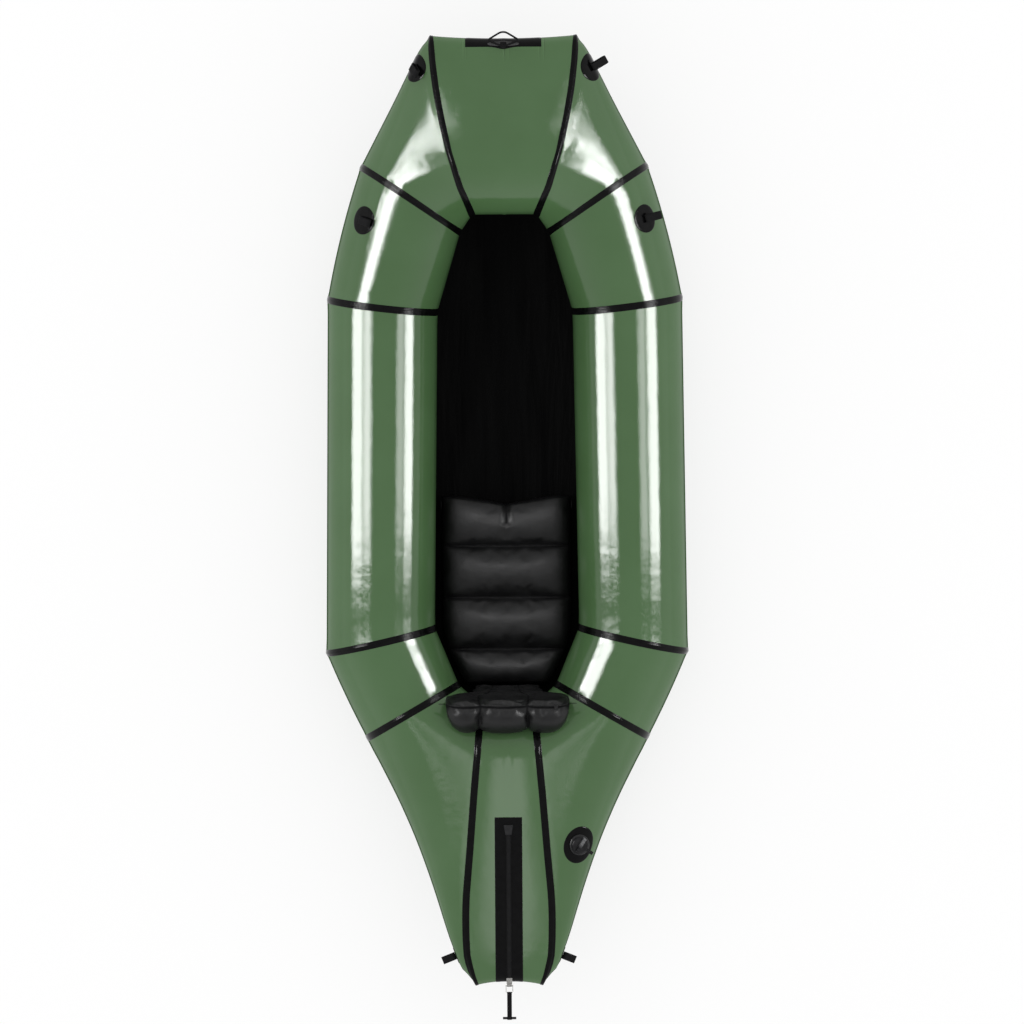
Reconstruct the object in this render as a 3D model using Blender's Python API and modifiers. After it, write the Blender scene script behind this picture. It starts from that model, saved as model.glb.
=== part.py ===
"""A one-person inflatable packraft, with its floor, seat, valve, cargo zip and tie points.

Metres. +Y is the bow, +X is starboard, +Z is up. The hull is a closed loop of inflated fabric tube. Rings are
drawn at the mitred seams, panels are lofted between them, and all that is welded on is offset from the skin.
"""

import math

import bmesh
import bpy
import numpy as np
from mathutils import Matrix, Vector
from mathutils.bvhtree import BVHTree

# The hull in plan
HULL_LENGTH = 2.495
HULL_BEAM = 0.955
TUBE_DIAMETER = 0.290
BOW_SECTION_LENGTH = 0.482
BOW_EDGE_RECESS = 0.009
STERN_SECTION_LENGTH = 0.742
STERN_EDGE_RECESS = 0.0105
BOW_SEAM_SPREAD = 0.024
STERN_SEAM_SPREAD = 0.0295
BOW_CORNER_SWELL = 0.008
BOW_QUARTER_SWELL = 0.007
AFT_QUARTER_SWELL = 0.003
STERN_FLARE = 0.016

# The outboard tip of each seam: shares of half the beam, and of the length from the stern
BOW_TIP_SHARES = (0.402, 1.0)
BOW_QUARTER_TIP_SHARES = (0.793, 0.864)
FORE_TIP_SHARES = (0.981, 0.725)
AFT_TIP_SHARES = (1.0, 0.351)
STERN_QUARTER_TIP_SHARES = (0.779, 0.2605)
STERN_TIP_SHARES = (0.184, 0.0)

# The width of each mitred ring as a share of the tube's diameter
BOW_QUARTER_WIDTH_SHARE = 1.09
FORE_WIDTH_SHARE = 1.012
AFT_WIDTH_SHARE = 1.02
STERN_QUARTER_WIDTH_SHARE = 0.974

# The way each seam runs inboard, in degrees from starboard towards the bow
BOW_HEADING = -77.1
BOW_QUARTER_HEADING = -33.7
FORE_HEADING = -6.8
AFT_HEADING = 12.7
STERN_QUARTER_HEADING = 30.0
STERN_HEADING = 88.9

# Heights
BOW_RISE = 0.139
BOW_QUARTER_RISE = 0.055
STERN_QUARTER_RISE = 0.006
STERN_RISE = 0.019
BOW_NOSE_RISE = 0.075
STERN_NOSE_RISE = 0.090
BOW_NOSE_RADIUS = 0.025
STERN_NOSE_RADIUS = 0.020
BOW_CROWN = 0.010
STERN_CROWN = 0.010
FORE_LEAN_SHARE = 0.073
AFT_LEAN_SHARE = 0.047

# Fabrics and the room between pieces
HULL_WALL = 0.0008
SHEET_THICKNESS = 0.0008
TAPE_WIDTH = 0.0185
TAPE_THICKNESS = 0.0005
PATCH_THICKNESS = 0.0008
GAP = 0.0003

# Round patches and webbing loops
ANCHOR_FORE_SHARES = (0.486, 0.9662)
ANCHOR_AFT_SHARES = (0.777, 0.807)
STERN_ANCHOR_SHARE = 0.0316
STERN_ANCHOR_DROP = 0.008
ANCHOR_RADIUS = 0.0375
STERN_ANCHOR_RADIUS = 0.022
CUTTER_DEPTH = 0.030
LOOP_LENGTH = 0.045
LOOP_HEIGHT = 0.013
LOOP_WEB = 0.0018
LOOP_WIDTH = 0.020
LOOP_FOLDED_ANGLE = 172.0
STERN_LOOP_SAG = 35.0
LOOP_ARC_POINTS = 6

# Bow grab patch and loop
GRAB_PATCH_WIDTH = 0.200
GRAB_PATCH_DEPTH = 0.024
GRAB_PATCH_HEIGHT = 0.034
GRAB_CORD = 0.005
GRAB_LOOP_WIDTH = 0.074
GRAB_LOOP_REACH = 0.036
GRAB_KNOT_INSET = 0.020
GRAB_LOOP_SHARES = ((0.0, 0.0), (0.6, 0.2), (1.0, 0.44), (0.82, 0.60), (0.50, 0.80), (0.2, 0.97), (0.0, 1.0))

# Main valve
VALVE_SHARES = (0.389, 0.1477)
VALVE_FLANGE_RADIUS = 0.047
VALVE_BODY_RADIUS = 0.0215
VALVE_RIM_RADIUS = 0.0275
VALVE_RIM_HEIGHT = 0.0040
VALVE_BORE_RADIUS = 0.0170
VALVE_DEPTH = 0.022
VALVE_CORE_HEIGHT = 0.006
VALVE_CORE_STEM = 0.0030
VALVE_CAP_RADIUS = 0.0225
VALVE_CAP_HEIGHT = 0.0035
VALVE_CAP_PLUG = 0.006
VALVE_GRIP_WIDTH = 0.008
VALVE_GRIP_HEIGHT = 0.007
VALVE_GRIP_ANGLE = 55.0
VALVE_RIB_DEPTH = 0.0015
VALVE_GRIP_RIBS = 5
VALVE_TETHER_WIDTH = 0.009
VALVE_TETHER_LENGTH = 0.020
VALVE_TETHER_THICKNESS = 0.0012
VALVE_TETHER_ANGLE = -90.0
VALVE_SIDES = 24

# Cargo zip on the stern deck
ZIP_PATCH_WIDTH = 0.072
ZIP_PATCH_LENGTH = 0.432
ZIP_PATCH_FOLD = 0.014
ZIP_FORE_MARGIN = 0.018
ZIP_OVERHANG = 0.032
SLIDER_REST = -0.020
ZIP_SLOT_WIDTH = 0.004
ZIP_SLOT_MARGIN = 0.020
ZIP_BASE_WIDTH = 0.014
ZIP_BASE_HEIGHT = 0.0010
ZIP_NECK_WIDTH = 0.004
ZIP_NECK_HEIGHT = 0.0018
ZIP_HEAD_WIDTH = 0.009
ZIP_HEAD_HEIGHT = 0.0020
ZIP_DOCK_LENGTH = 0.026
ZIP_DOCK_WIDTH = 0.024
ZIP_DOCK_NOSE_WIDTH = 0.016
ZIP_DOCK_HEIGHT = 0.006
SLIDER_LENGTH = 0.022
SLIDER_WALL = 0.0026
SLIDER_LIP = 0.0009
SLIDER_TOP = 0.0020
BAIL_WIRE = 0.0020
BAIL_WIDTH = 0.0195
BAIL_LENGTH = 0.024
BAIL_EYE_HEIGHT = 0.0029
BAIL_EYE_WIRE = 0.0020
PULL_WIDTH = 0.0122
PULL_LENGTH = 0.070
PULL_THICKNESS = 0.0024
TOGGLE_RADIUS = 0.0033
TOGGLE_WIDTH = 0.035

# Seat
SEAT_LENGTH = 0.495
SEAT_SIDE_GAP = 0.006
SEAT_HEIGHT = 0.095
SEAT_EDGE_HEIGHT = 0.034
SEAT_SEAM = 0.003
SEAT_CHAMBERS = 4
SEAT_WELD_SHARE = 0.62
SEAT_FRONT_DIP = 0.026
SEAT_BACK_SHARE = 0.64
SEAT_TAPER_SHARE = 0.34
SEAT_BACK_INSET = 0.045
BACKREST_LOBES = 3
BACKREST_WIDTH = 0.326
BACKREST_FOOT_WIDTH = 0.170
BACKREST_BASE_HEIGHT = 0.113
BACKREST_TOP_HEIGHT = 0.365
BACKREST_SETBACK = 0.050
BACKREST_THICKNESS = 0.062
BACKREST_FOOT_THICKNESS = 0.018
BACKREST_FRONT_SHARE = 0.18
BACKREST_WELD_SHARE = 0.45
BACKREST_ROOM = 0.006
BACKREST_VALVE_SHARE = 0.78
BACKREST_NECK_SHARES = ((0.0, 0.0), (0.2, 0.0), (0.42, 0.5), (0.65, 1.0), (1.0, 1.0))
BACKREST_FILL_SHARES = ((0.0, 0.0), (0.75, 1.0), (1.0, 1.0))
WEB_WIDTH = 0.160
WEB_THICKNESS = 0.0012
STRAP_WIDTH = 0.018
STRAP_THICKNESS = 0.0015
STRAP_RISE = 0.050
MOUTH_VALVE_RADIUS = 0.0048
MOUTH_VALVE_LENGTH = 0.016
MOUTH_NECK_SHARE = 0.67

# How finely the skin is divided
RING_SIDES = 28
NOSE_SIDES = 3
PATH_STEPS = 120
MERGE = 0.00001
SEAT_COLUMNS = 10
SEAT_CHAMBER_ROWS = 5
BACKREST_LOBE_COLUMNS = 5
BACKREST_ROWS = 10
EYE_STEPS = 8
DECK_SHARES = (0.0, 0.28, 0.55, 0.80, 1.0)
BOW_SPREAD_SHARES = (
    (0.0, 0.0), (0.146, 0.68), (0.343, 1.0), (0.54, 0.96), (0.70, 0.79), (0.85, 0.47), (1.0, 0.0),
)
STERN_SPREAD_SHARES = (
    (0.0, 0.0), (0.10, 0.0), (0.31, 0.38), (0.52, 0.69), (0.70, 1.0),
    (0.80, 0.98), (0.89, 0.86), (0.955, 0.48), (1.0, 0.0),
)
EVEN_SWELL_SHARES = ((0.0, 0.0), (0.5, 1.0), (1.0, 0.0))
BOW_CORNER_SHARES = ((0.0, 0.0), (0.12, 1.0), (0.5, 0.35), (1.0, 0.0))
STERN_FLARE_SHARES = (
    (0.0, 0.0), (0.25, -0.68), (0.41, -0.70), (0.57, -0.24), (0.66, 0.17),
    (0.74, 0.58), (0.82, 0.98), (0.93, 1.05), (0.965, 1.25), (0.986, 1.0), (1.0, 0.0),
)

QUARTER = RING_SIDES // 4
BOTTOM = 3 * QUARTER
FLANGE_COLUMNS = 2
TAPE_START_SHARE = 0.15
TAPE_END_SHARE = 0.40
LEAST_CROSSING_SHARE = 0.5

TUBE_RADIUS = TUBE_DIAMETER / 2
TUBE_HEIGHT = TUBE_RADIUS + GAP + SHEET_THICKNESS


def tidy_scene():
    """Start from an empty scene with one collection for the boat and one for its cutters."""
    for thing in list(bpy.data.objects):
        bpy.data.objects.remove(thing, do_unlink=True)
    for name in ("packraft", "cutters"):
        if name in bpy.data.collections:
            bpy.data.collections.remove(bpy.data.collections[name])
        bpy.context.scene.collection.children.link(bpy.data.collections.new(name))


def material(name, colour, roughness, metallic=0.0):
    finish = bpy.data.materials.new(name)
    finish.use_nodes = True
    shader = finish.node_tree.nodes["Principled BSDF"]
    shader.inputs["Base Color"].default_value = (*colour, 1.0)
    shader.inputs["Roughness"].default_value = roughness
    shader.inputs["Metallic"].default_value = metallic
    return finish


# Rings at the seams
def tube_section(width):
    """Round a plain tube from its outboard tip over the top: distance from the inboard edge, and height."""
    angles = np.arange(RING_SIDES) * 2 * math.pi / RING_SIDES
    return width / 2 * (1 + np.cos(angles)), TUBE_RADIUS * np.sin(angles)


def belt_section(length, nose_radius, nose_rise):
    """Round a tapered end in the same order: a belt drawn over the crest and a small tube at the nose."""
    across, up = tube_section(TUBE_DIAMETER)
    run = length - TUBE_RADIUS - nose_radius
    lean = math.atan2(nose_rise, run)
    opening = math.acos((TUBE_RADIUS - nose_radius) / math.hypot(run, nose_rise))
    for side in (1, -1):
        touch = opening + side * lean
        arc = np.linspace(math.pi / 2, touch, PATH_STEPS)
        nose = np.linspace(touch, 0, NOSE_SIDES + 1)
        nose_across = length + nose_radius * (np.cos(nose) - 1)
        nose_up = nose_rise + side * nose_radius * np.sin(nose)
        path_across = np.append(TUBE_RADIUS * (1 + np.cos(arc)), nose_across[0])
        path_up = np.append(side * TUBE_RADIUS * np.sin(arc), nose_up[0])
        travel = np.append(0, np.cumsum(np.hypot(np.diff(path_across), np.diff(path_up))))
        places = np.array(DECK_SHARES) * travel[-1]
        half_across = np.append(np.interp(places, travel, path_across), nose_across[1:])
        half_up = np.append(np.interp(places, travel, path_up), nose_up[1:])
        columns = side * (QUARTER - np.arange(QUARTER + 1)) % RING_SIDES
        across[columns] = half_across
        up[columns] = half_up
    return across, up


def ring(tip, heading, section, height, spread=0.0, spread_shares=((0.0, 0.0), (1.0, 0.0)), lean=0.0):
    """A port seam ring in space, and how far out each of its points lies as a share of the ring's width."""
    across, up = section
    width = across.max()
    along = (math.cos(math.radians(heading)), math.sin(math.radians(heading)))
    share = across / width
    side = spread * np.interp(share, *zip(*spread_shares))
    x = tip[0] + along[0] * (width - across) - abs(along[1]) * side
    y = tip[1] + along[1] * (width - across) - lean * up
    return np.stack([x, y, height + up], axis=1), share


def seam_tip(shares):
    return -shares[0] * HULL_BEAM / 2, (shares[1] - 1 / 2) * HULL_LENGTH


def seam_rings():
    """The port side's rings from the middle of the bow to the middle of the stern."""
    bow_section = belt_section(BOW_SECTION_LENGTH, BOW_NOSE_RADIUS, BOW_NOSE_RISE)
    stern_section = belt_section(STERN_SECTION_LENGTH, STERN_NOSE_RADIUS, STERN_NOSE_RISE)
    bow_height = TUBE_HEIGHT + BOW_RISE
    stern_height = TUBE_HEIGHT + STERN_RISE
    bow_tip = seam_tip(BOW_TIP_SHARES)
    stern_tip = seam_tip(STERN_TIP_SHARES)
    bow_inboard = bow_tip[1] + BOW_SECTION_LENGTH * math.sin(math.radians(BOW_HEADING))
    stern_inboard = stern_tip[1] + STERN_SECTION_LENGTH
    bow_middle = bow_tip[1] - BOW_EDGE_RECESS
    stern_middle = stern_tip[1] + STERN_EDGE_RECESS
    middle_bow_section = belt_section(bow_middle - bow_inboard, BOW_NOSE_RADIUS, BOW_NOSE_RISE)
    middle_stern_section = belt_section(stern_inboard - stern_middle, STERN_NOSE_RADIUS, STERN_NOSE_RISE)
    return [
        ring((0, bow_middle), -90, middle_bow_section, bow_height + BOW_CROWN),
        ring(bow_tip, BOW_HEADING, bow_section, bow_height, BOW_SEAM_SPREAD, BOW_SPREAD_SHARES),
        ring(
            seam_tip(BOW_QUARTER_TIP_SHARES), BOW_QUARTER_HEADING,
            tube_section(BOW_QUARTER_WIDTH_SHARE * TUBE_DIAMETER), TUBE_HEIGHT + BOW_QUARTER_RISE,
        ),
        ring(
            seam_tip(FORE_TIP_SHARES), FORE_HEADING,
            tube_section(FORE_WIDTH_SHARE * TUBE_DIAMETER), TUBE_HEIGHT, lean=FORE_LEAN_SHARE,
        ),
        ring(
            seam_tip(AFT_TIP_SHARES), AFT_HEADING,
            tube_section(AFT_WIDTH_SHARE * TUBE_DIAMETER), TUBE_HEIGHT, lean=AFT_LEAN_SHARE,
        ),
        ring(
            seam_tip(STERN_QUARTER_TIP_SHARES), STERN_QUARTER_HEADING,
            tube_section(STERN_QUARTER_WIDTH_SHARE * TUBE_DIAMETER), TUBE_HEIGHT + STERN_QUARTER_RISE,
        ),
        ring(stern_tip, STERN_HEADING, stern_section, stern_height, STERN_SEAM_SPREAD, STERN_SPREAD_SHARES),
        ring((0, stern_middle), 90, middle_stern_section, stern_height + STERN_CROWN),
    ]


def outward_of(start, end):
    """The level direction out of the boat, square to the line from one port tip to the next one aft."""
    run = end[:2] - start[:2]
    return np.array([run[1], -run[0], 0.0]) / math.hypot(*run)


# The skin between the rings
class Panel:
    """One side's panel between two rings: its inner division, its outward swell, and whether it is arched."""

    def __init__(self, name, shares, swell=0.0, swell_shares=EVEN_SWELL_SHARES, arch=False):
        self.name = name
        self.shares = shares
        self.swell = swell
        self.swell_shares = swell_shares
        self.arch = arch

    def path(self, first, last, at):
        """The ring that lies this share of the way along the panel."""
        (start, start_out), (end, end_out) = first, last
        middle = start + (end - start) * at
        if self.arch:
            from_middle = abs(start[0, 0]) < abs(end[0, 0])
            part = at if from_middle else 1 - at
            bend = part ** 2 if from_middle else 1 - part ** 2
            middle[:, 1:] = start[:, 1:] + (end[:, 1:] - start[:, 1:]) * bend
        amount = self.swell * np.interp(at, *zip(*self.swell_shares))
        out = start_out + (end_out - start_out) * at
        return middle + amount * outward_of(start[0], end[0]) * (out ** 2)[:, None]


PANELS = (
    Panel("bow_centre", (0.55,), arch=True),
    Panel("bow_side", (0.14, 0.5), BOW_CORNER_SWELL, BOW_CORNER_SHARES),
    Panel("bow_quarter", (0.33, 0.67), BOW_QUARTER_SWELL),
    Panel("main_tube", ()),
    Panel("aft_quarter", (0.5,), AFT_QUARTER_SWELL),
    Panel("stern_side", (0.25, 0.45, 0.65, 0.82, 0.93, 0.97), STERN_FLARE, STERN_FLARE_SHARES),
    Panel("stern_centre", (0.45,), arch=True),
)


def half_tape(seam, beside):
    """How far the tape reaches along each line that leaves a seam, so that it's equally wide all round."""
    along_seam = np.roll(seam, -1, axis=0) - np.roll(seam, 1, axis=0)
    leaving = beside - seam
    crossing = np.linalg.norm(np.cross(along_seam, leaving), axis=1)
    crossing /= np.linalg.norm(along_seam, axis=1) * np.linalg.norm(leaving, axis=1)
    return TAPE_WIDTH / 2 / np.maximum(crossing, LEAST_CROSSING_SHARE)


def skin_rows():
    """Rings across the port half, with rows at each tape's edges, and the row number of each seam."""
    rings = seam_rings()
    rows = [rings[0][0]]
    seams = [0]
    for number, panel in enumerate(PANELS):
        first, last = rings[number], rings[number + 1]
        dense = np.array([panel.path(first, last, at) for at in np.linspace(0, 1, PATH_STEPS + 1)])
        travel = np.cumsum(np.linalg.norm(np.diff(dense, axis=0), axis=2), axis=0)
        travel = np.vstack([np.zeros(RING_SIDES), travel])
        start = np.zeros(RING_SIDES) if number == 0 else half_tape(dense[0], dense[1])
        stop = travel[-1] if number == len(PANELS) - 1 else travel[-1] - half_tape(dense[-1], dense[-2])
        inner = [start + (stop - start) * share for share in panel.shares]
        stops = inner if number == 0 else [start, *inner]
        stops = stops if number == len(PANELS) - 1 else [*stops, stop]
        for distance in [*stops, travel[-1]]:
            rows.append(np.array([
                [np.interp(distance[side], travel[:, side], dense[:, side, axis]) for axis in range(3)]
                for side in range(RING_SIDES)
            ]))
        seams.append(len(rows) - 1)
    return rows, seams


class Skin:
    """The whole loop of tube as rows of points round it, port side first, with outward normals."""

    def __init__(self):
        port, self.seams = skin_rows()
        mirror = np.array([-1.0, 1.0, 1.0])
        starboard = [row * mirror for row in port[-2:0:-1]]
        self.points = np.array(port + starboard)
        self.count = len(self.points)
        along = np.roll(self.points, -1, axis=0) - np.roll(self.points, 1, axis=0)
        around = np.roll(self.points, -1, axis=1) - np.roll(self.points, 1, axis=1)
        normals = np.cross(along, around)
        self.normals = normals / np.linalg.norm(normals, axis=2)[:, :, None]
        self.tree = self.make_tree()

    def make_tree(self):
        corners = self.points.reshape(-1, 3)
        faces = []
        for row in range(self.count):
            for column in range(RING_SIDES):
                here = row * RING_SIDES + column
                beside = row * RING_SIDES + (column + 1) % RING_SIDES
                below = (row + 1) % self.count * RING_SIDES + column
                across = (row + 1) % self.count * RING_SIDES + (column + 1) % RING_SIDES
                faces += [(here, below, across), (here, across, beside)]
        return BVHTree.FromPolygons([Vector(corner) for corner in corners], faces)

    def at(self, row, column, offset):
        """A point on a row at a whole or part column, this far off the skin."""
        low = math.floor(column)
        part = column - low
        first, second = low % RING_SIDES, (low + 1) % RING_SIDES
        row %= self.count
        point = self.points[row, first] * (1 - part) + self.points[row, second] * part
        normal = self.normals[row, first] * (1 - part) + self.normals[row, second] * part
        return point + offset * normal / np.linalg.norm(normal)

    def lattice(self, rows, columns, offset):
        return np.array([[self.at(row, column, offset) for column in columns] for row in rows])

    def row_range(self, panel, starboard=False):
        """The rows of a panel, seam to seam. The two centre panels run across the boat."""
        first, last = self.seams[panel], self.seams[panel + 1]
        if panel == 0:
            return range(-last, last + 1)
        if panel == len(PANELS) - 1:
            return range(first, 2 * last - first + 1)
        if starboard:
            return range(self.count - last, self.count - first + 1)
        return range(first, last + 1)

    def from_above(self, x, y):
        """Where a plumb line at this place first meets the skin, and the outward normal there."""
        place, normal, _, _ = self.tree.ray_cast(Vector((x, y, HULL_BEAM)), Vector((0, 0, -1)))
        return place, normal

    def from_side(self, y, drop, side):
        """A place on the port or starboard side, this far below where the skin is widest, and its normal."""
        port = self.points[:self.seams[-2] + 1]
        tips = port[:, 0][np.argsort(port[:, 0, 1])]
        height = np.interp(y, tips[:, 1], tips[:, 2]) - drop
        place, normal, _, _ = self.tree.ray_cast(Vector((side * HULL_BEAM, y, height)), Vector((-side, 0, 0)))
        return place, normal


def new_object(name, mesh, finish, parent):
    part = bpy.data.objects.new(name, mesh)
    bpy.data.collections["packraft"].objects.link(part)
    mesh.materials.clear()
    mesh.materials.append(finish)
    part.parent = parent
    return part


def lattice_mesh(name, outer, inner, closed):
    """A closed solid between an outer and an inner lattice of points, with rims at the ends."""
    rows, columns = outer.shape[:2]
    bm = bmesh.new()
    grids = [[[bm.verts.new(point) for point in row] for row in lattice] for lattice in (outer, inner)]
    steps = columns if closed else columns - 1
    for grid, flip in zip(grids, (False, True)):
        for row in range(rows - 1):
            for column in range(steps):
                beside = (column + 1) % columns
                here, near = grid[row][column], grid[row][beside]
                below, across = grid[row + 1][column], grid[row + 1][beside]
                for corners in ((here, below, across), (here, across, near)):
                    bm.faces.new(corners[::-1] if flip else corners)
    out, within = grids
    for column in range(steps):
        beside = (column + 1) % columns
        bm.faces.new((out[0][beside], within[0][beside], within[0][column], out[0][column]))
        bm.faces.new((out[-1][column], within[-1][column], within[-1][beside], out[-1][beside]))
    if not closed:
        for row in range(rows - 1):
            bm.faces.new((out[row][0], within[row][0], within[row + 1][0], out[row + 1][0]))
            bm.faces.new((out[row + 1][-1], within[row + 1][-1], within[row][-1], out[row][-1]))
    mesh = bpy.data.meshes.new(name)
    bmesh.ops.recalc_face_normals(bm, faces=bm.faces)
    bm.to_mesh(mesh)
    bm.free()
    mesh.shade_smooth()
    mesh.set_sharp_from_angle(angle=math.radians(40))
    return mesh


def drawn_in(lattice, distance):
    """The lattice with its first and last rows drawn in along the panel."""
    lattice = lattice.copy()
    for end, inner in ((0, 1), (-1, -2)):
        run = lattice[inner] - lattice[end]
        lattice[end] += distance * run / np.linalg.norm(run, axis=1)[:, None]
    return lattice


def hull_panels(skin, finish, parent):
    """Twelve open-ended fabric shells, each ending just short of the seam planes."""
    columns = range(RING_SIDES)
    panels = {}
    for number, panel in enumerate(PANELS):
        middle = number in (0, len(PANELS) - 1)
        for starboard in ((False,) if middle else (False, True)):
            rows = skin.row_range(number, starboard)
            outer = drawn_in(skin.lattice(rows, columns, 0), GAP / 2)
            inner = drawn_in(skin.lattice(rows, columns, -HULL_WALL), GAP / 2)
            side = "" if middle else "_starboard" if starboard else "_port"
            name = f"hull_{panel.name}{side}"
            panels[name] = new_object(name, lattice_mesh(name, outer, inner, True), finish, parent)
    return panels


def seam_tapes(skin, finish, parent):
    """A welded tape round each seam, from the floor's edge over the tube and down to the cockpit floor."""
    first = BOTTOM + FLANGE_COLUMNS + TAPE_START_SHARE - RING_SIDES
    last = BOTTOM - TAPE_END_SHARE
    columns = [first, *range(math.ceil(first), math.floor(last) + 1), last]
    for number, name in enumerate(("bow", "bow_quarter", "fore", "aft", "stern_quarter", "stern"), start=1):
        for side, row in (("port", skin.seams[number]), ("starboard", skin.count - skin.seams[number])):
            rows = (row - 1, row, row + 1)
            outer = skin.lattice(rows, columns, GAP + TAPE_THICKNESS)
            inner = skin.lattice(rows, columns, GAP)
            title = f"seam_tape_{name}_{side}"
            new_object(title, lattice_mesh(title, outer, inner, False), finish, parent)


def floor_sheet(skin, finish, parent):
    """The boat's bottom: a sheet from side to side, with a border welded up under the tubes."""
    bm = bmesh.new()
    border = [
        [bm.verts.new(skin.at(row, column, GAP)) for column in range(BOTTOM, BOTTOM + FLANGE_COLUMNS + 1)]
        for row in range(skin.count)
    ]
    for row in range(skin.count):
        after = border[(row + 1) % skin.count]
        for column in range(FLANGE_COLUMNS):
            here, out = border[row][column], border[row][column + 1]
            bm.faces.new((here, after[column], after[column + 1]))
            bm.faces.new((here, after[column + 1], out))
    bow, stern = skin.seams[1], skin.seams[-2]

    def crossing(row):
        port, starboard = border[row][0], border[skin.count - row][0]
        if row == bow:
            return [border[other][0] for other in range(bow, -bow - 1, -1)]
        if row == stern:
            return [border[other][0] for other in range(stern, skin.count - stern + 1)]
        steps = 2 * bow
        inner = [
            bm.verts.new(port.co.lerp(starboard.co, step / steps))
            for step in range(1, steps)
        ]
        return [port, *inner, starboard]

    before = crossing(bow)
    for row in range(bow + 1, stern + 1):
        after = crossing(row)
        for step in range(len(before) - 1):
            near, far = before[step:step + 2], after[step:step + 2]
            if (row == bow + 1) == (step < bow):
                bm.faces.new((near[0], near[1], far[1]))
                bm.faces.new((near[0], far[1], far[0]))
            else:
                bm.faces.new((near[0], near[1], far[0]))
                bm.faces.new((near[1], far[1], far[0]))
        before = after
    mesh = bpy.data.meshes.new("floor_sheet")
    bmesh.ops.recalc_face_normals(bm, faces=bm.faces)
    if max(bm.faces, key=lambda face: face.calc_area()).normal.z > 0:
        bmesh.ops.reverse_faces(bm, faces=bm.faces)
    bm.to_mesh(mesh)
    bm.free()
    mesh.shade_smooth()
    sheet = new_object("floor_sheet", mesh, finish, parent)
    wall = sheet.modifiers.new("thickness", "SOLIDIFY")
    wall.thickness = SHEET_THICKNESS
    wall.offset = 1
    return sheet


def filled_curve(name, loops, half_depth):
    """A flat outline, with any holes, filled and drawn out to both sides of its plane."""
    curve = bpy.data.curves.new(name, "CURVE")
    curve.dimensions = "2D"
    curve.fill_mode = "BOTH"
    curve.extrude = half_depth
    for loop in loops:
        spline = curve.splines.new("POLY")
        spline.points.add(len(loop) - 1)
        for point, (x, y) in zip(spline.points, loop):
            point.co = (x, y, 0, 1)
        spline.use_cyclic_u = True
    return curve


def solid_outline(name, loops, half_depth, matrix, finish, parent):
    part = new_object(name, filled_curve(name, loops, half_depth), finish, parent)
    part.matrix_local = matrix
    return part


def turned(name, profile, matrix, finish, parent, closed=False):
    """A profile of radii and heights from the top down, turned about local Z. A closed one makes a ring."""
    mesh = bpy.data.meshes.new(name)
    edges = [(here, here + 1) for here in range(len(profile) - 1)]
    if closed:
        edges.append((len(profile) - 1, 0))
    mesh.from_pydata([(radius, 0, height) for radius, height in profile], edges, [])
    part = new_object(name, mesh, finish, parent)
    part.matrix_local = matrix
    screw = part.modifiers.new("turn", "SCREW")
    screw.steps = screw.render_steps = VALVE_SIDES
    screw.use_merge_vertices = True
    screw.merge_threshold = MERGE
    screw.use_normal_calculate = True
    screw.use_normal_flip = not closed
    return part


def wire(name, points, radius, matrix, finish, parent):
    """A smooth round cord, closed through these points."""
    curve = bpy.data.curves.new(name, "CURVE")
    curve.dimensions = "3D"
    curve.bevel_depth = radius
    curve.bevel_resolution = 1
    curve.resolution_u = 3
    spline = curve.splines.new("BEZIER")
    spline.bezier_points.add(len(points) - 1)
    for point, place in zip(spline.bezier_points, points):
        point.co = place
        point.handle_left_type = point.handle_right_type = "AUTO"
    spline.use_cyclic_u = True
    part = new_object(name, curve, finish, parent)
    part.matrix_local = matrix
    return part


def cutter(name, mesh_maker, matrix, parent):
    """A hidden tool body for a Boolean."""
    bm = bmesh.new()
    mesh_maker(bm)
    mesh = bpy.data.meshes.new(name)
    bm.to_mesh(mesh)
    bm.free()
    tool = bpy.data.objects.new(name, mesh)
    bpy.data.collections["cutters"].objects.link(tool)
    tool.parent = parent
    tool.matrix_local = matrix
    tool.hide_render = True
    tool.display_type = "WIRE"
    return tool


def box_maker(low, high):
    size = Vector(high) - Vector(low)
    middle = (Vector(high) + Vector(low)) / 2
    return lambda bm: bmesh.ops.create_cube(
        bm, size=1, matrix=Matrix.Translation(middle) @ Matrix.Diagonal((*size, 1))
    )


def drum_maker(radius, half_depth):
    return lambda bm: bmesh.ops.create_cone(
        bm, cap_ends=True, segments=VALVE_SIDES, radius1=radius, radius2=radius, depth=2 * half_depth
    )


def carve(part, tool, operation="DIFFERENCE"):
    change = part.modifiers.new(operation.lower(), "BOOLEAN")
    change.operation = operation
    change.object = tool
    change.solver = "EXACT"


def skin_patch(name, skin, panel, starboard, tool, finish, parent):
    """Fabric welded on a panel: its own surface between the tapes, lifted and cut out by a tool body."""
    rows = skin.row_range(panel, starboard)[1:-1]
    columns = range(RING_SIDES)
    outer = drawn_in(skin.lattice(rows, columns, GAP + PATCH_THICKNESS), GAP)
    inner = drawn_in(skin.lattice(rows, columns, GAP), GAP)
    part = new_object(name, lattice_mesh(name, outer, inner, True), finish, parent)
    carve(part, tool, "INTERSECT")
    return part


def share_place(shares, side=1):
    return side * shares[0] * HULL_BEAM / 2, (shares[1] - 1 / 2) * HULL_LENGTH


def frame_from(place, up, toward):
    """A frame at a place with local Z along up, and local X as near as it goes to toward."""
    up = Vector(up).normalized()
    ahead = Vector(toward)
    ahead = (ahead - ahead.dot(up) * up).normalized()
    matrix = Matrix((ahead, up.cross(ahead), up)).transposed().to_4x4()
    matrix.translation = place
    return matrix


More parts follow.
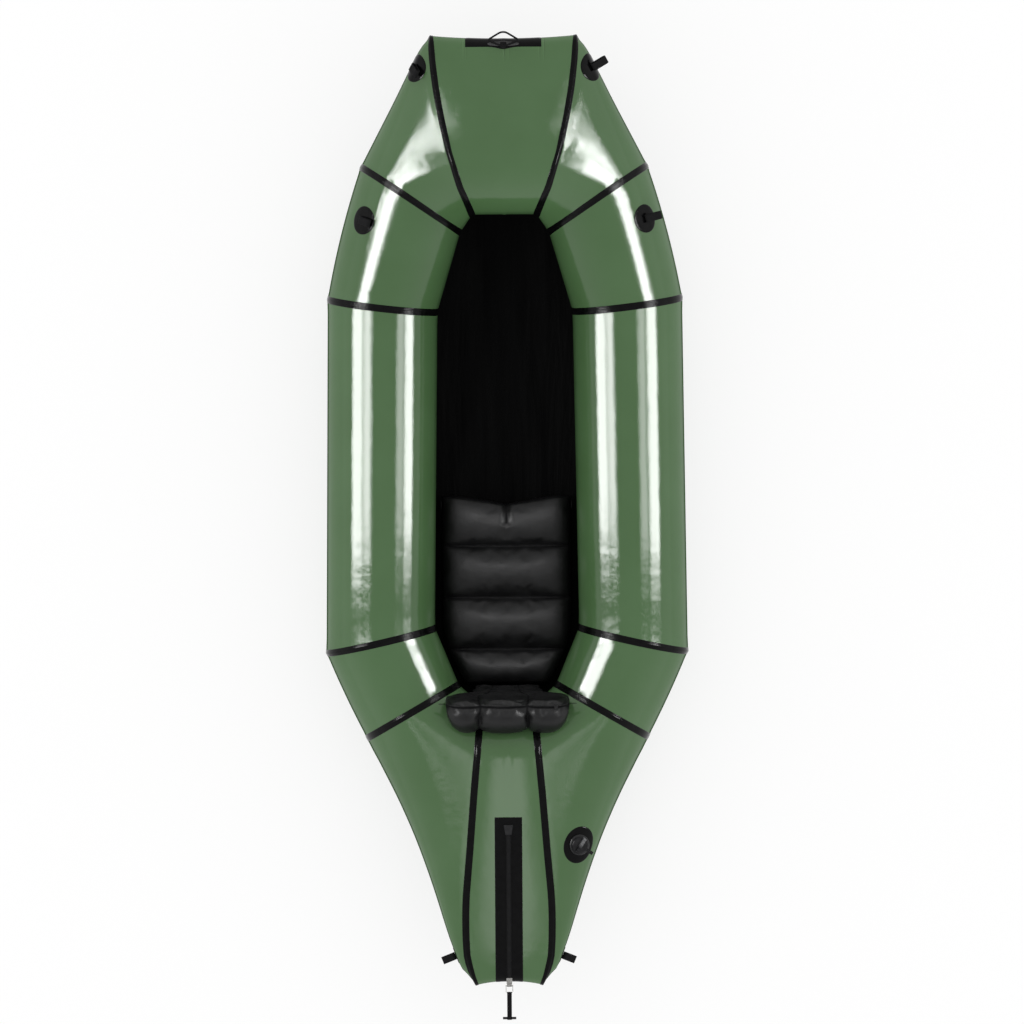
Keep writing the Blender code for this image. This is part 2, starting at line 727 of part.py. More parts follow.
def plane_over(skin, x, y, radius):
    """The place and normal of a level seat for something round: it touches the highest skin under its rim."""
    place, normal = skin.from_above(x, y)
    frame = frame_from(place, normal, (1, 0, 0))
    turns = [2 * math.pi * step / VALVE_SIDES for step in range(VALVE_SIDES)]
    rim = [frame @ Vector((radius * math.cos(turn), radius * math.sin(turn), 0)) for turn in turns]
    rim = [skin.tree.find_nearest(point)[0] for point in rim]
    turns = [first.cross(second) for first, second in zip(rim, rim[1:] + rim[:1])]
    normal = sum(turns, Vector()).normalized()
    return place + normal * max((point - place).dot(normal) for point in [*rim, place]), normal


def webbing_loop(name, lying, angle, finish, parent):
    """A folded strip that swings on the patch that holds it, turned this many degrees up from lying on it."""
    radius = LOOP_HEIGHT / 2
    flat = lying @ Matrix.Translation((0, 0, GAP + PATCH_THICKNESS + GAP + radius))
    flat = flat @ Matrix.Rotation(math.radians(90), 4, "X")
    loops = [stadium(LOOP_LENGTH - 2 * radius, radius - inset) for inset in (0, LOOP_WEB)]
    turned_up = flat @ Matrix.Rotation(math.radians(angle), 4, "Z")
    part = solid_outline(name, loops, LOOP_WIDTH / 2, turned_up, finish, parent)
    axis = turned_up.to_3x3() @ Vector((0, 0, 1))
    return part, turned_up.translation, axis


def anchors(skin, finishes, parent):
    """Round fabric patches with webbing loops. The bow's are on top, and its port loops lie folded inboard."""
    joints = {}
    kinds = (
        ("bow_anchor_fore", ANCHOR_FORE_SHARES, 1, ANCHOR_RADIUS),
        ("bow_anchor_aft", ANCHOR_AFT_SHARES, 2, ANCHOR_RADIUS),
        ("stern_anchor", None, 5, STERN_ANCHOR_RADIUS),
    )
    for name, shares, panel, radius in kinds:
        for side, sign in (("port", -1), ("starboard", 1)):
            if shares:
                place, normal = skin.from_above(*share_place(shares, sign))
                out = outward_of(*[skin.points[skin.seams[seam], 0] for seam in (panel, panel + 1)])
                toward = (-sign * out[0], out[1], 0)
            else:
                stern_y = (STERN_ANCHOR_SHARE - 1 / 2) * HULL_LENGTH
                place, normal = skin.from_side(stern_y, STERN_ANCHOR_DROP, sign)
                toward = (0, 0, -1)
            lying = frame_from(place, normal, toward)
            tool = cutter(f"{name}_{side}_cutter", drum_maker(radius, CUTTER_DEPTH), lying, parent)
            skin_patch(f"{name}_patch_{side}", skin, panel, sign > 0, tool, finishes["tape"], parent)
            level = math.degrees(math.asin(-lying.col[0].z))
            angle = level if shares else level - STERN_LOOP_SAG
            if shares and sign < 0:
                angle = LOOP_FOLDED_ANGLE
            loop, pivot, axis = webbing_loop(f"{name}_loop_{side}", lying, angle, finishes["webbing"], parent)
            joints[loop.name] = (pivot, axis, angle)
    return joints


def bow_grab(skin, finishes, parent):
    """A patch folded over the leading edge, and a cord loop that lies on it and lifts from its knot."""
    middle = skin.points[0]
    tip = max(middle, key=lambda point: point[1])
    tool = cutter(
        "bow_grab_cutter",
        box_maker(
            (-GRAB_PATCH_WIDTH / 2, -GRAB_PATCH_DEPTH, -GRAB_PATCH_HEIGHT),
            (GRAB_PATCH_WIDTH / 2, GRAB_PATCH_DEPTH, GRAB_PATCH_HEIGHT),
        ),
        Matrix.Translation(tip), parent,
    )
    skin_patch("bow_grab_patch", skin, 0, False, tool, finishes["tape"], parent)
    knot_y = tip[1] - GRAB_KNOT_INSET
    top, _ = skin.from_above(0, knot_y - GRAB_CORD / 2)
    height = top.z + GAP + PATCH_THICKNESS + GAP + GRAB_CORD / 2
    right = [(x * GRAB_LOOP_WIDTH / 2, y * GRAB_LOOP_REACH, 0) for x, y in GRAB_LOOP_SHARES]
    left = [(-x, y, z) for x, y, z in right[-2:0:-1]]
    pivot = Vector((0, knot_y, height))
    wire(
        "bow_grab_loop", right + left, GRAB_CORD / 2, Matrix.Translation(pivot), finishes["webbing"], parent,
    )
    return pivot


def main_valve(skin, panels, finishes, parent):
    """A fabric flange, a body through the skin, its core, its cap with a grip bar, and the tether."""
    place, normal = plane_over(skin, *share_place(VALVE_SHARES), VALVE_RIM_RADIUS)
    grip = math.radians(VALVE_GRIP_ANGLE)
    seat = frame_from(place, normal, (math.cos(grip), math.sin(grip), 0))
    flange_tool = cutter("valve_flange_cutter", drum_maker(VALVE_FLANGE_RADIUS, CUTTER_DEPTH), seat, parent)
    flange = skin_patch("valve_flange", skin, 5, True, flange_tool, finishes["tape"], parent)
    hole = cutter("valve_hole_cutter", drum_maker(VALVE_BODY_RADIUS + GAP, CUTTER_DEPTH), seat, parent)
    carve(flange, hole)
    carve(panels["hull_stern_side_starboard"], hole)
    foot = GAP + PATCH_THICKNESS + GAP
    top = foot + VALVE_RIM_HEIGHT
    round_over = VALVE_RIM_HEIGHT / 2
    body = [
        (VALVE_BORE_RADIUS, top), (VALVE_RIM_RADIUS - round_over, top), (VALVE_RIM_RADIUS, top - round_over),
        (VALVE_RIM_RADIUS, foot), (VALVE_BODY_RADIUS, foot), (VALVE_BODY_RADIUS, foot - VALVE_DEPTH),
        (VALVE_BORE_RADIUS, foot - VALVE_DEPTH),
    ]
    turned("valve_body", body, seat, finishes["plastic"], parent, closed=True)
    core_radius = VALVE_BORE_RADIUS - GAP
    core_top = foot - VALVE_DEPTH + 2 * VALVE_CORE_HEIGHT
    stem_top = core_top + VALVE_CORE_STEM
    core_foot = core_top - VALVE_CORE_HEIGHT
    core = [
        (0, stem_top), (VALVE_CORE_STEM, stem_top), (VALVE_CORE_STEM, core_top),
        (core_radius, core_top), (core_radius, core_foot), (0, core_foot),
    ]
    turned("valve_core", core, seat, finishes["rubber"], parent)
    cap_foot = top + GAP + VALVE_TETHER_THICKNESS + GAP
    cap_top = cap_foot + VALVE_CAP_HEIGHT
    cap = [
        (0, cap_top), (VALVE_CAP_RADIUS - round_over, cap_top), (VALVE_CAP_RADIUS, cap_top - round_over),
        (VALVE_CAP_RADIUS, cap_foot), (core_radius, cap_foot), (core_radius, cap_foot - VALVE_CAP_PLUG),
        (0, cap_foot - VALVE_CAP_PLUG),
    ]
    part = turned("valve_cap", cap, seat, finishes["plastic"], parent)
    grip_length = VALVE_CAP_RADIUS - round_over
    step = 2 * grip_length / (2 * VALVE_GRIP_RIBS)
    outline = [(-grip_length, cap_top - round_over)]
    for rib in range(2 * VALVE_GRIP_RIBS):
        height = VALVE_GRIP_HEIGHT if rib % 2 else VALVE_GRIP_HEIGHT - VALVE_RIB_DEPTH
        start = -grip_length + rib * step
        outline += [(start, cap_top + height), (start + step, cap_top + height)]
    outline.append((grip_length, cap_top - round_over))
    bar = cutter(
        "valve_grip", outline_maker(outline, VALVE_GRIP_WIDTH / 2),
        seat @ Matrix.Rotation(math.radians(90), 4, "X"), parent,
    )
    carve(part, bar, "UNION")
    tether_inner = core_radius + GAP
    tether_foot = top + GAP
    tether_top = tether_foot + VALVE_TETHER_THICKNESS
    ring_outline = [
        (tether_inner, tether_top), (VALVE_CAP_RADIUS, tether_top),
        (VALVE_CAP_RADIUS, tether_foot), (tether_inner, tether_foot),
    ]
    tether = turned("valve_tether", ring_outline, seat, finishes["rubber"], parent, closed=True)
    tail = cutter(
        "valve_tether_tail",
        box_maker(
            (VALVE_CAP_RADIUS - VALVE_TETHER_WIDTH / 4, -VALVE_TETHER_WIDTH / 2, tether_foot),
            (VALVE_CAP_RADIUS + VALVE_TETHER_LENGTH, VALVE_TETHER_WIDTH / 2, tether_top),
        ),
        seat @ Matrix.Rotation(math.radians(VALVE_TETHER_ANGLE), 4, "Z"), parent,
    )
    carve(tether, tail, "UNION")
    return place, normal


def outline_maker(outline, half_depth):
    """A prism of a flat outline in the local XY plane."""
    def make(bm):
        face = bm.faces.new([bm.verts.new((x, y, -half_depth)) for x, y in outline])
        drawn = bmesh.ops.extrude_face_region(bm, geom=[face])
        rising = [item for item in drawn["geom"] if isinstance(item, bmesh.types.BMVert)]
        bmesh.ops.translate(bm, verts=rising, vec=(0, 0, 2 * half_depth))
        bmesh.ops.recalc_face_normals(bm, faces=bm.faces)
    return make


def stadium(length, radius, points=LOOP_ARC_POINTS):
    """A round-ended outline from the origin along X, between the centres of its two ends."""
    angles = [math.pi * step / points for step in range(points + 1)]
    near_end = [(-radius * math.sin(turn), radius * math.cos(turn)) for turn in angles]
    far_end = [(length + radius * math.sin(turn), -radius * math.cos(turn)) for turn in angles]
    return near_end + far_end


def circle(x, radius, points=2 * LOOP_ARC_POINTS):
    return [
        (x + radius * math.cos(2 * math.pi * step / points), radius * math.sin(2 * math.pi * step / points))
        for step in range(points)
    ]


def cargo_zip(skin, panels, finishes, parent):
    """A patch with a slot, the closed chain as an undercut rail, its dock, and the slider with its pull."""
    middle = skin.points[skin.seams[-1]]
    fore, aft = Vector(middle[QUARTER - 1]), Vector(middle[NOSE_SIDES])
    ahead = (fore - aft).normalized()
    deck = Matrix((Vector((1, 0, 0)), ahead, Vector((1, 0, 0)).cross(ahead))).transposed().to_4x4()
    deck.translation = aft
    patch_tool = cutter(
        "zip_patch_cutter",
        box_maker(
            (-ZIP_PATCH_WIDTH / 2, -STERN_NOSE_RADIUS - ZIP_PATCH_FOLD, -ZIP_PATCH_FOLD),
            (ZIP_PATCH_WIDTH / 2, ZIP_PATCH_LENGTH - STERN_NOSE_RADIUS, ZIP_PATCH_FOLD),
        ),
        deck, parent,
    )
    patch = skin_patch("zip_patch", skin, len(PANELS) - 1, False, patch_tool, finishes["tape"], parent)
    chain_end = ZIP_PATCH_LENGTH - STERN_NOSE_RADIUS - ZIP_FORE_MARGIN
    slot = cutter(
        "zip_slot_cutter",
        box_maker(
            (-ZIP_SLOT_WIDTH / 2, ZIP_SLOT_MARGIN, -ZIP_PATCH_FOLD / 2),
            (ZIP_SLOT_WIDTH / 2, chain_end - ZIP_SLOT_MARGIN - ZIP_DOCK_LENGTH, ZIP_PATCH_FOLD),
        ),
        deck, parent,
    )
    carve(patch, slot)
    carve(panels["hull_stern_centre"], slot)
    foot = GAP + PATCH_THICKNESS + GAP
    base, neck, head = foot + ZIP_BASE_HEIGHT, ZIP_NECK_WIDTH / 2, ZIP_HEAD_WIDTH / 2
    head_foot = base + ZIP_NECK_HEIGHT
    chain_top = head_foot + ZIP_HEAD_HEIGHT
    half = [
        (ZIP_BASE_WIDTH / 2, foot), (ZIP_BASE_WIDTH / 2, base), (neck, base), (neck, head_foot),
        (head, head_foot), (head, chain_top),
    ]
    profile = half + [(-x, z) for x, z in half[::-1]]
    across = deck @ Matrix.Rotation(math.radians(90), 4, "X")
    chain_length = chain_end - ZIP_DOCK_LENGTH + ZIP_OVERHANG
    chain_middle = (chain_end - ZIP_DOCK_LENGTH - ZIP_OVERHANG) / 2
    solid_outline(
        "zip_chain", [profile], chain_length / 2, across @ Matrix.Translation((0, 0, -chain_middle)),
        finishes["rubber"], parent,
    )
    dock_foot = chain_end - ZIP_DOCK_LENGTH + GAP
    dock = [
        (-ZIP_DOCK_WIDTH / 2, chain_end), (-ZIP_DOCK_NOSE_WIDTH / 2, dock_foot),
        (ZIP_DOCK_NOSE_WIDTH / 2, dock_foot), (ZIP_DOCK_WIDTH / 2, chain_end),
    ]
    solid_outline(
        "zip_dock", [dock], ZIP_DOCK_HEIGHT / 2,
        deck @ Matrix.Translation((0, 0, foot + ZIP_DOCK_HEIGHT / 2)), finishes["plastic"], parent,
    )
    parked = deck @ Matrix.Translation((0, SLIDER_REST, 0))
    return zip_slider(parked, base, neck, head_foot, head, chain_top, finishes, parent)


def zip_slider(deck, base, neck, head_foot, head, chain_top, finishes, parent):
    """The saddle that grips the chain's head from both sides, its eye, and the bail, strap and toggle."""
    lip_foot = base + (head_foot - base - SLIDER_LIP) / 2
    outside = head + GAP + SLIDER_WALL
    roof = chain_top + GAP
    half = [
        (neck + GAP, lip_foot), (outside, lip_foot), (outside, roof + SLIDER_TOP / 2),
        (outside - SLIDER_TOP / 2, roof + SLIDER_TOP),
    ]
    inside = [(-head - GAP, roof), (-head - GAP, lip_foot + SLIDER_LIP), (-neck - GAP, lip_foot + SLIDER_LIP)]
    profile = half + [(-x, z) for x, z in half[::-1]] + inside[::-1] + [(-x, z) for x, z in inside]
    across = deck @ Matrix.Rotation(math.radians(90), 4, "X")
    bm_tool = outline_maker(profile, SLIDER_LENGTH / 2)
    bm = bmesh.new()
    bm_tool(bm)
    mesh = bpy.data.meshes.new("zip_slider")
    bm.to_mesh(mesh)
    bm.free()
    slider = new_object("zip_slider", mesh, finishes["metal"], parent)
    slider.matrix_local = across
    top = roof + SLIDER_TOP
    eye_centre = top + BAIL_EYE_HEIGHT
    eye_radius = BAIL_WIRE / 2 + GAP
    lug = eye_radius + BAIL_EYE_WIRE
    eye_place = -SLIDER_LENGTH / 4
    eye_loops = outline_maker(
        [
            (eye_place + lug * math.cos(math.pi * step / EYE_STEPS),
             eye_centre + lug * math.sin(math.pi * step / EYE_STEPS))
            for step in range(EYE_STEPS + 1)
        ] + [
            (eye_place - lug, top - SLIDER_TOP / 2),
            (eye_place + lug, top - SLIDER_TOP / 2),
        ],
        BAIL_EYE_WIRE / 2,
    )
    sideways = deck @ Matrix(((0, 0, 1, 0), (1, 0, 0, 0), (0, 1, 0, 0), (0, 0, 0, 1)))
    carve(slider, cutter("slider_eye", eye_loops, sideways, parent), "UNION")
    eye_frame = sideways @ Matrix.Translation((eye_place, eye_centre, 0))
    carve(slider, cutter("slider_eye_hole", drum_maker(eye_radius, BAIL_WIDTH), eye_frame, parent))
    wire_radius = BAIL_WIRE / 2
    half_width = (BAIL_WIDTH - BAIL_WIRE) / 2
    bend = BAIL_WIRE
    bail_end = BAIL_LENGTH - BAIL_WIRE
    corners = [
        (-bend, 0), (-bail_end + bend, 0), (-bail_end, bend), (-bail_end, 2 * half_width - bend),
        (-bail_end + bend, 2 * half_width), (-bend, 2 * half_width), (0, 2 * half_width - bend), (0, bend),
    ]
    bail = bpy.data.curves.new("zip_bail", "CURVE")
    bail.dimensions = "3D"
    bail.bevel_depth = wire_radius
    bail.bevel_resolution = 2
    spline = bail.splines.new("POLY")
    spline.points.add(len(corners) - 1)
    for point, (x, y) in zip(spline.points, corners):
        point.co = (x, 0, y - half_width, 1)
    spline.use_cyclic_u = True
    ring_part = new_object("zip_bail", bail, finishes["metal"], parent)
    ring_part.matrix_local = eye_frame
    eye = wire_radius + GAP
    strap_end = PULL_LENGTH - TOGGLE_RADIUS
    near_radius = eye + PULL_THICKNESS / 2
    far_radius = TOGGLE_RADIUS + GAP + PULL_THICKNESS / 2
    strap = dumbbell(strap_end, near_radius, far_radius, PULL_THICKNESS / 2)
    holes = [circle(0, eye), circle(strap_end, TOGGLE_RADIUS + GAP)]
    strap_frame = eye_frame @ Matrix.Translation((-bail_end, 0, 0)) @ Matrix.Rotation(math.pi, 4, "Y")
    solid_outline("zip_pull_strap", [strap, *holes], PULL_WIDTH / 2, strap_frame, finishes["webbing"], parent)
    toggle = [(0, TOGGLE_WIDTH / 2), (TOGGLE_RADIUS, TOGGLE_WIDTH / 2), (TOGGLE_RADIUS, -TOGGLE_WIDTH / 2)]
    toggle.append((0, -TOGGLE_WIDTH / 2))
    turned(
        "zip_pull_toggle", toggle, strap_frame @ Matrix.Translation((strap_end, 0, 0)),
        finishes["plastic"], parent,
    )
    return deck, eye_frame


def dumbbell(length, near_radius, far_radius, half_neck):
    """A strip with a round eye at each end, as an outline from one eye's centre along X to the other's."""
    near_turn = math.asin(half_neck / near_radius)
    far_turn = math.asin(half_neck / far_radius)
    points = 2 * LOOP_ARC_POINTS
    near_end = [
        near_turn + (2 * math.pi - 2 * near_turn) * step / points for step in range(points + 1)
    ]
    far_end = [
        math.pi + far_turn + (2 * math.pi - 2 * far_turn) * step / points for step in range(points + 1)
    ]
    return (
        [(near_radius * math.cos(turn), near_radius * math.sin(turn)) for turn in near_end]
        + [(length + far_radius * math.cos(turn), far_radius * math.sin(turn)) for turn in far_end]
    )


def rounding(at, power):
    """One in the middle, and falling to nothing at both ends, more sharply as the power grows."""
    return math.sqrt(max(0.0, 1 - abs(at) ** power))


def chamber(at, count, weld):
    """The fullness of a row of welded chambers, at a place from 0 to 1 along the row."""
    part = at * count % 1
    if at <= 0 or at >= 1:
        return 0.0
    return weld + (1 - weld) * rounding(2 * part - 1, 2)


def pillow(name, across_steps, along_steps, place, finish, parent):
    """A closed pad of two grids, whose front and back points a function places by their two shares."""
    bm = bmesh.new()
    bmesh.ops.create_grid(bm, x_segments=across_steps, y_segments=along_steps, size=1)
    lower = list(bm.verts)
    raised = bmesh.ops.extrude_face_region(bm, geom=list(bm.faces))
    upper = [item for item in raised["geom"] if isinstance(item, bmesh.types.BMVert)]
    for group, face in ((lower, 0), (upper, 1)):
        for vertex in group:
            vertex.co = place(vertex.co.x, (vertex.co.y + 1) / 2, face)
    bmesh.ops.recalc_face_normals(bm, faces=bm.faces)
    mesh = bpy.data.meshes.new(name)
    bm.to_mesh(mesh)
    bm.free()
    mesh.shade_smooth()
    return new_object(name, mesh, finish, parent)


def floor_top(skin, y):
    """The height of the cockpit floor's upper face this far along the boat."""
    rows = range(skin.seams[-2], 0, -1)
    return np.interp(y, *zip(*[skin.points[row, BOTTOM, 1:] for row in rows])) - GAP


def seat(skin, finishes, parent):
    """The cushion between the tubes, the backrest that leans on the stern, and what ties them down."""
    inner = min(-skin.points[seam][2 * QUARTER][0] for seam in skin.seams[3:5])
    half_width = inner - SEAT_SIDE_GAP
    back = skin.points[skin.seams[-1]][2 * QUARTER][1] + SEAT_BACK_INSET
    edge = SHEET_THICKNESS + GAP + SEAT_EDGE_HEIGHT
    half_seam = SEAT_SEAM / 2

    def cushion(across, along, face):
        taper = math.sin(min(1.0, along / SEAT_TAPER_SHARE) * math.pi / 2)
        width = half_width * (SEAT_BACK_SHARE + (1 - SEAT_BACK_SHARE) * taper)
        front = max(0.0, along * SEAT_CHAMBERS - SEAT_CHAMBERS + 1)
        y = back + SEAT_LENGTH * along - SEAT_FRONT_DIP * front * (1 - across ** 2)
        if face:
            full = chamber(along, SEAT_CHAMBERS, SEAT_WELD_SHARE) * rounding(across, 5)
            return across * width, y, edge + half_seam + (SEAT_HEIGHT - SEAT_EDGE_HEIGHT - half_seam) * full
        flat = rounding(across, 8) * rounding(2 * along - 1, 16)
        low = floor_top(skin, y) + 2 * GAP
        return across * width, y, edge - half_seam - (edge - half_seam - low) * flat

    pillow("seat_cushion", SEAT_COLUMNS, SEAT_CHAMBER_ROWS * SEAT_CHAMBERS, cushion, finishes["seat"], parent)
    hinge = Vector((0, back - half_seam, BACKREST_BASE_HEIGHT))
    backrest_width = backrest(skin, hinge, finishes["seat"], parent)
    web_low = (-WEB_WIDTH / 2, -WEB_THICKNESS, floor_top(skin, back) + 2 * GAP)
    web_high = (WEB_WIDTH / 2, 0, BACKREST_BASE_HEIGHT - 2 * GAP)
    box_part(
        "seat_hinge_web", web_low, web_high, Matrix.Translation((0, back - GAP, 0)),
        finishes["webbing"], parent,
    )
    rise = backrest_rise()
    tie_foot = hinge + rise * tie_share()
    for side, sign in (("port", -1), ("starboard", 1)):
        foot = Vector((sign * (half_width + GAP), back + SEAT_LENGTH - STRAP_WIDTH, edge - STRAP_WIDTH))
        box_part(
            f"seat_tie_{side}", (0, -STRAP_WIDTH / 2, 0),
            (sign * STRAP_THICKNESS, STRAP_WIDTH / 2, STRAP_RISE),
            Matrix.Translation(foot), finishes["webbing"], parent,
        )
        box_part(
            f"backrest_tie_{side}", (0, -STRAP_THICKNESS / 2, -STRAP_WIDTH / 2),
            (sign * STRAP_WIDTH, STRAP_THICKNESS / 2, STRAP_WIDTH / 2),
            Matrix.Translation(tie_foot + Vector((sign * (backrest_width + GAP), 0, 0))),
            finishes["webbing"], parent,
        )
    neck = MOUTH_VALVE_RADIUS * MOUTH_NECK_SHARE
    collar = MOUTH_VALVE_LENGTH * MOUTH_NECK_SHARE
    mouth = [
        (0, MOUTH_VALVE_LENGTH), (MOUTH_VALVE_RADIUS, MOUTH_VALVE_LENGTH), (MOUTH_VALVE_RADIUS, collar),
        (neck, collar), (neck, 0), (0, 0),
    ]
    top = hinge + rise + rise.normalized() * GAP + Vector((BACKREST_VALVE_SHARE * BACKREST_WIDTH / 2, 0, 0))
    turned("backrest_valve", mouth, frame_from(top, rise, (1, 0, 0)), finishes["plastic"], parent)
    return hinge - rearward(rise) * half_seam


def backrest_rise():
    return Vector((0, -BACKREST_SETBACK, BACKREST_TOP_HEIGHT - BACKREST_BASE_HEIGHT))


def rearward(rise):
    return Vector((0, -rise.z, rise.y)).normalized()


def tie_share():
    """How far up the backrest its ties leave it: they pass just over the crest of the stern."""
    crest = TUBE_HEIGHT + STERN_RISE + STERN_CROWN + TUBE_RADIUS
    return (crest + BACKREST_ROOM + STRAP_WIDTH / 2 - BACKREST_BASE_HEIGHT) / backrest_rise().z


def backrest(skin, hinge, finish, parent):
    """Three upright lobes. Their width and depth stop short of the tubes that they lean between."""
    rise = backrest_rise()
    back = rearward(rise)
    half_seam = SEAT_SEAM / 2

    def room(point, way):
        hit = skin.tree.ray_cast(point, way)
        return hit[3] - BACKREST_ROOM if hit[0] else HULL_BEAM

    def half_width(along):
        neck = np.interp(along, *zip(*BACKREST_NECK_SHARES))
        wanted = (BACKREST_FOOT_WIDTH + (BACKREST_WIDTH - BACKREST_FOOT_WIDTH) * neck) / 2
        spine = hinge + rise * along + back * BACKREST_FOOT_THICKNESS / 2
        return min(wanted, room(spine, Vector((1, 0, 0))))

    def place(across, along, face):
        lobe = chamber((across + 1) / 2, BACKREST_LOBES, BACKREST_WELD_SHARE)
        ends = rounding(2 * along - 1, 4)
        fill = np.interp(along, *zip(*BACKREST_FILL_SHARES))
        thick = BACKREST_FOOT_THICKNESS + (BACKREST_THICKNESS - BACKREST_FOOT_THICKNESS) * fill
        middle = hinge + rise * along + Vector((across * half_width(along), 0, 0))
        share = 1 - BACKREST_FRONT_SHARE if face else BACKREST_FRONT_SHARE
        depth = half_seam + (thick - SEAT_SEAM) * lobe * ends * share
        way = back if face else -back
        return middle + way * max(half_seam, min(depth, room(middle, way)))

    pillow("seat_backrest", BACKREST_LOBE_COLUMNS * BACKREST_LOBES, BACKREST_ROWS, place, finish, parent)
    return half_width(tie_share())


def box_part(name, low, high, matrix, finish, parent):
    bm = bmesh.new()
    box_maker([min(a, b) for a, b in zip(low, high)], [max(a, b) for a, b in zip(low, high)])(bm)
    mesh = bpy.data.meshes.new(name)
    bm.to_mesh(mesh)
    bm.free()
    part = new_object(name, mesh, finish, parent)
    part.matrix_local = matrix
    return part


def main():
    tidy_scene()
    skin = Skin()
    boat = bpy.data.objects.new("boat_frame", None)
    bpy.data.collections["packraft"].objects.link(boat)
    finishes = {
        "hull": material("hull_fabric", (0.09, 0.16, 0.075), 0.25),
        "tape": material("seam_tape", (0.012, 0.012, 0.012), 0.35),
        "floor": material("floor_fabric", (0.01, 0.01, 0.01), 0.6),
        "seat": material("seat_fabric", (0.015, 0.015, 0.016), 0.45),
        "webbing": material("webbing", (0.012, 0.012, 0.012), 0.8),
        "plastic": material("black_plastic", (0.02, 0.02, 0.022), 0.4),
        "rubber": material("rubber", (0.012, 0.012, 0.012), 0.7),
        "metal": material("nickel", (0.7, 0.7, 0.7), 0.25, 1.0),
    }
    panels = hull_panels(skin, finishes["hull"], boat)
    seam_tapes(skin, finishes["tape"], boat)
    floor_sheet(skin, finishes["floor"], boat)
    loops = anchors(skin, finishes, boat)
    knot = bow_grab(skin, finishes, boat)
    valve = main_valve(skin, panels, finishes, boat)
    deck, eye = cargo_zip(skin, panels, finishes, boat)
    hinge = seat(skin, finishes, boat)
    fore_end = knot.y + GRAB_LOOP_REACH + GRAB_CORD / 2
    pull_reach = BAIL_LENGTH - BAIL_WIRE + PULL_LENGTH + GAP + PULL_THICKNESS / 2
    aft_end = (eye @ Vector((-pull_reach, 0, 0))).y
    centred = Matrix.Translation((0, -(fore_end + aft_end) / 2, 0))
    for part in list(boat.children):
        part.parent = None
        part.matrix_basis = centred @ part.matrix_basis
    bpy.data.objects.remove(boat)
    return centred, loops, knot, valve, deck, eye, hinge


main()
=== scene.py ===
import math

import bmesh
import bpy
import numpy as np
from mathutils import Matrix, Vector, noise
from mathutils.bvhtree import BVHTree


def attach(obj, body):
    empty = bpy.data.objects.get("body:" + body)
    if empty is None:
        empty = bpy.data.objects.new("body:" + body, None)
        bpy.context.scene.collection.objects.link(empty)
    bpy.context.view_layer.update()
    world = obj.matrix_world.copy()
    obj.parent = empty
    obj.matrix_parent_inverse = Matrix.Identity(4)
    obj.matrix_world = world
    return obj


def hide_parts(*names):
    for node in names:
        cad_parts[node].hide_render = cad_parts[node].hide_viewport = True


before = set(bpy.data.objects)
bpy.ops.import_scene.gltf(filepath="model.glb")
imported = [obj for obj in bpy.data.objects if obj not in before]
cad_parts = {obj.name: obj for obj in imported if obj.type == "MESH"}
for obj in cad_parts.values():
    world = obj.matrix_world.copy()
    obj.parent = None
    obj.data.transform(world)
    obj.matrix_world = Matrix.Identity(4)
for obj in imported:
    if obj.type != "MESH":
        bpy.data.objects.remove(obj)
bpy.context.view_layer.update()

# Studio. The boat is photographed from straight above with a very long lens, on a plain pale floor, in even soft
# light. Strip lights beside it, each flagged to the panels that it faces, are mirrored as streaks on the tubes.
SCALE_M = 2.695
LENS_MM = 500
SENSOR_MM = 36
VIEW_CENTRE = (0.0150, 0.0372, 0.23)
VIEW_TURN = -0.0066
CLIP_M = 200
FLOOR_HALF_M = 20
FLOOR_GLOW = 0.74
SKY_LIGHT = {"From Min": 0.30, "From Max": 0.95, "To Min": 1.32, "To Max": 0.76}
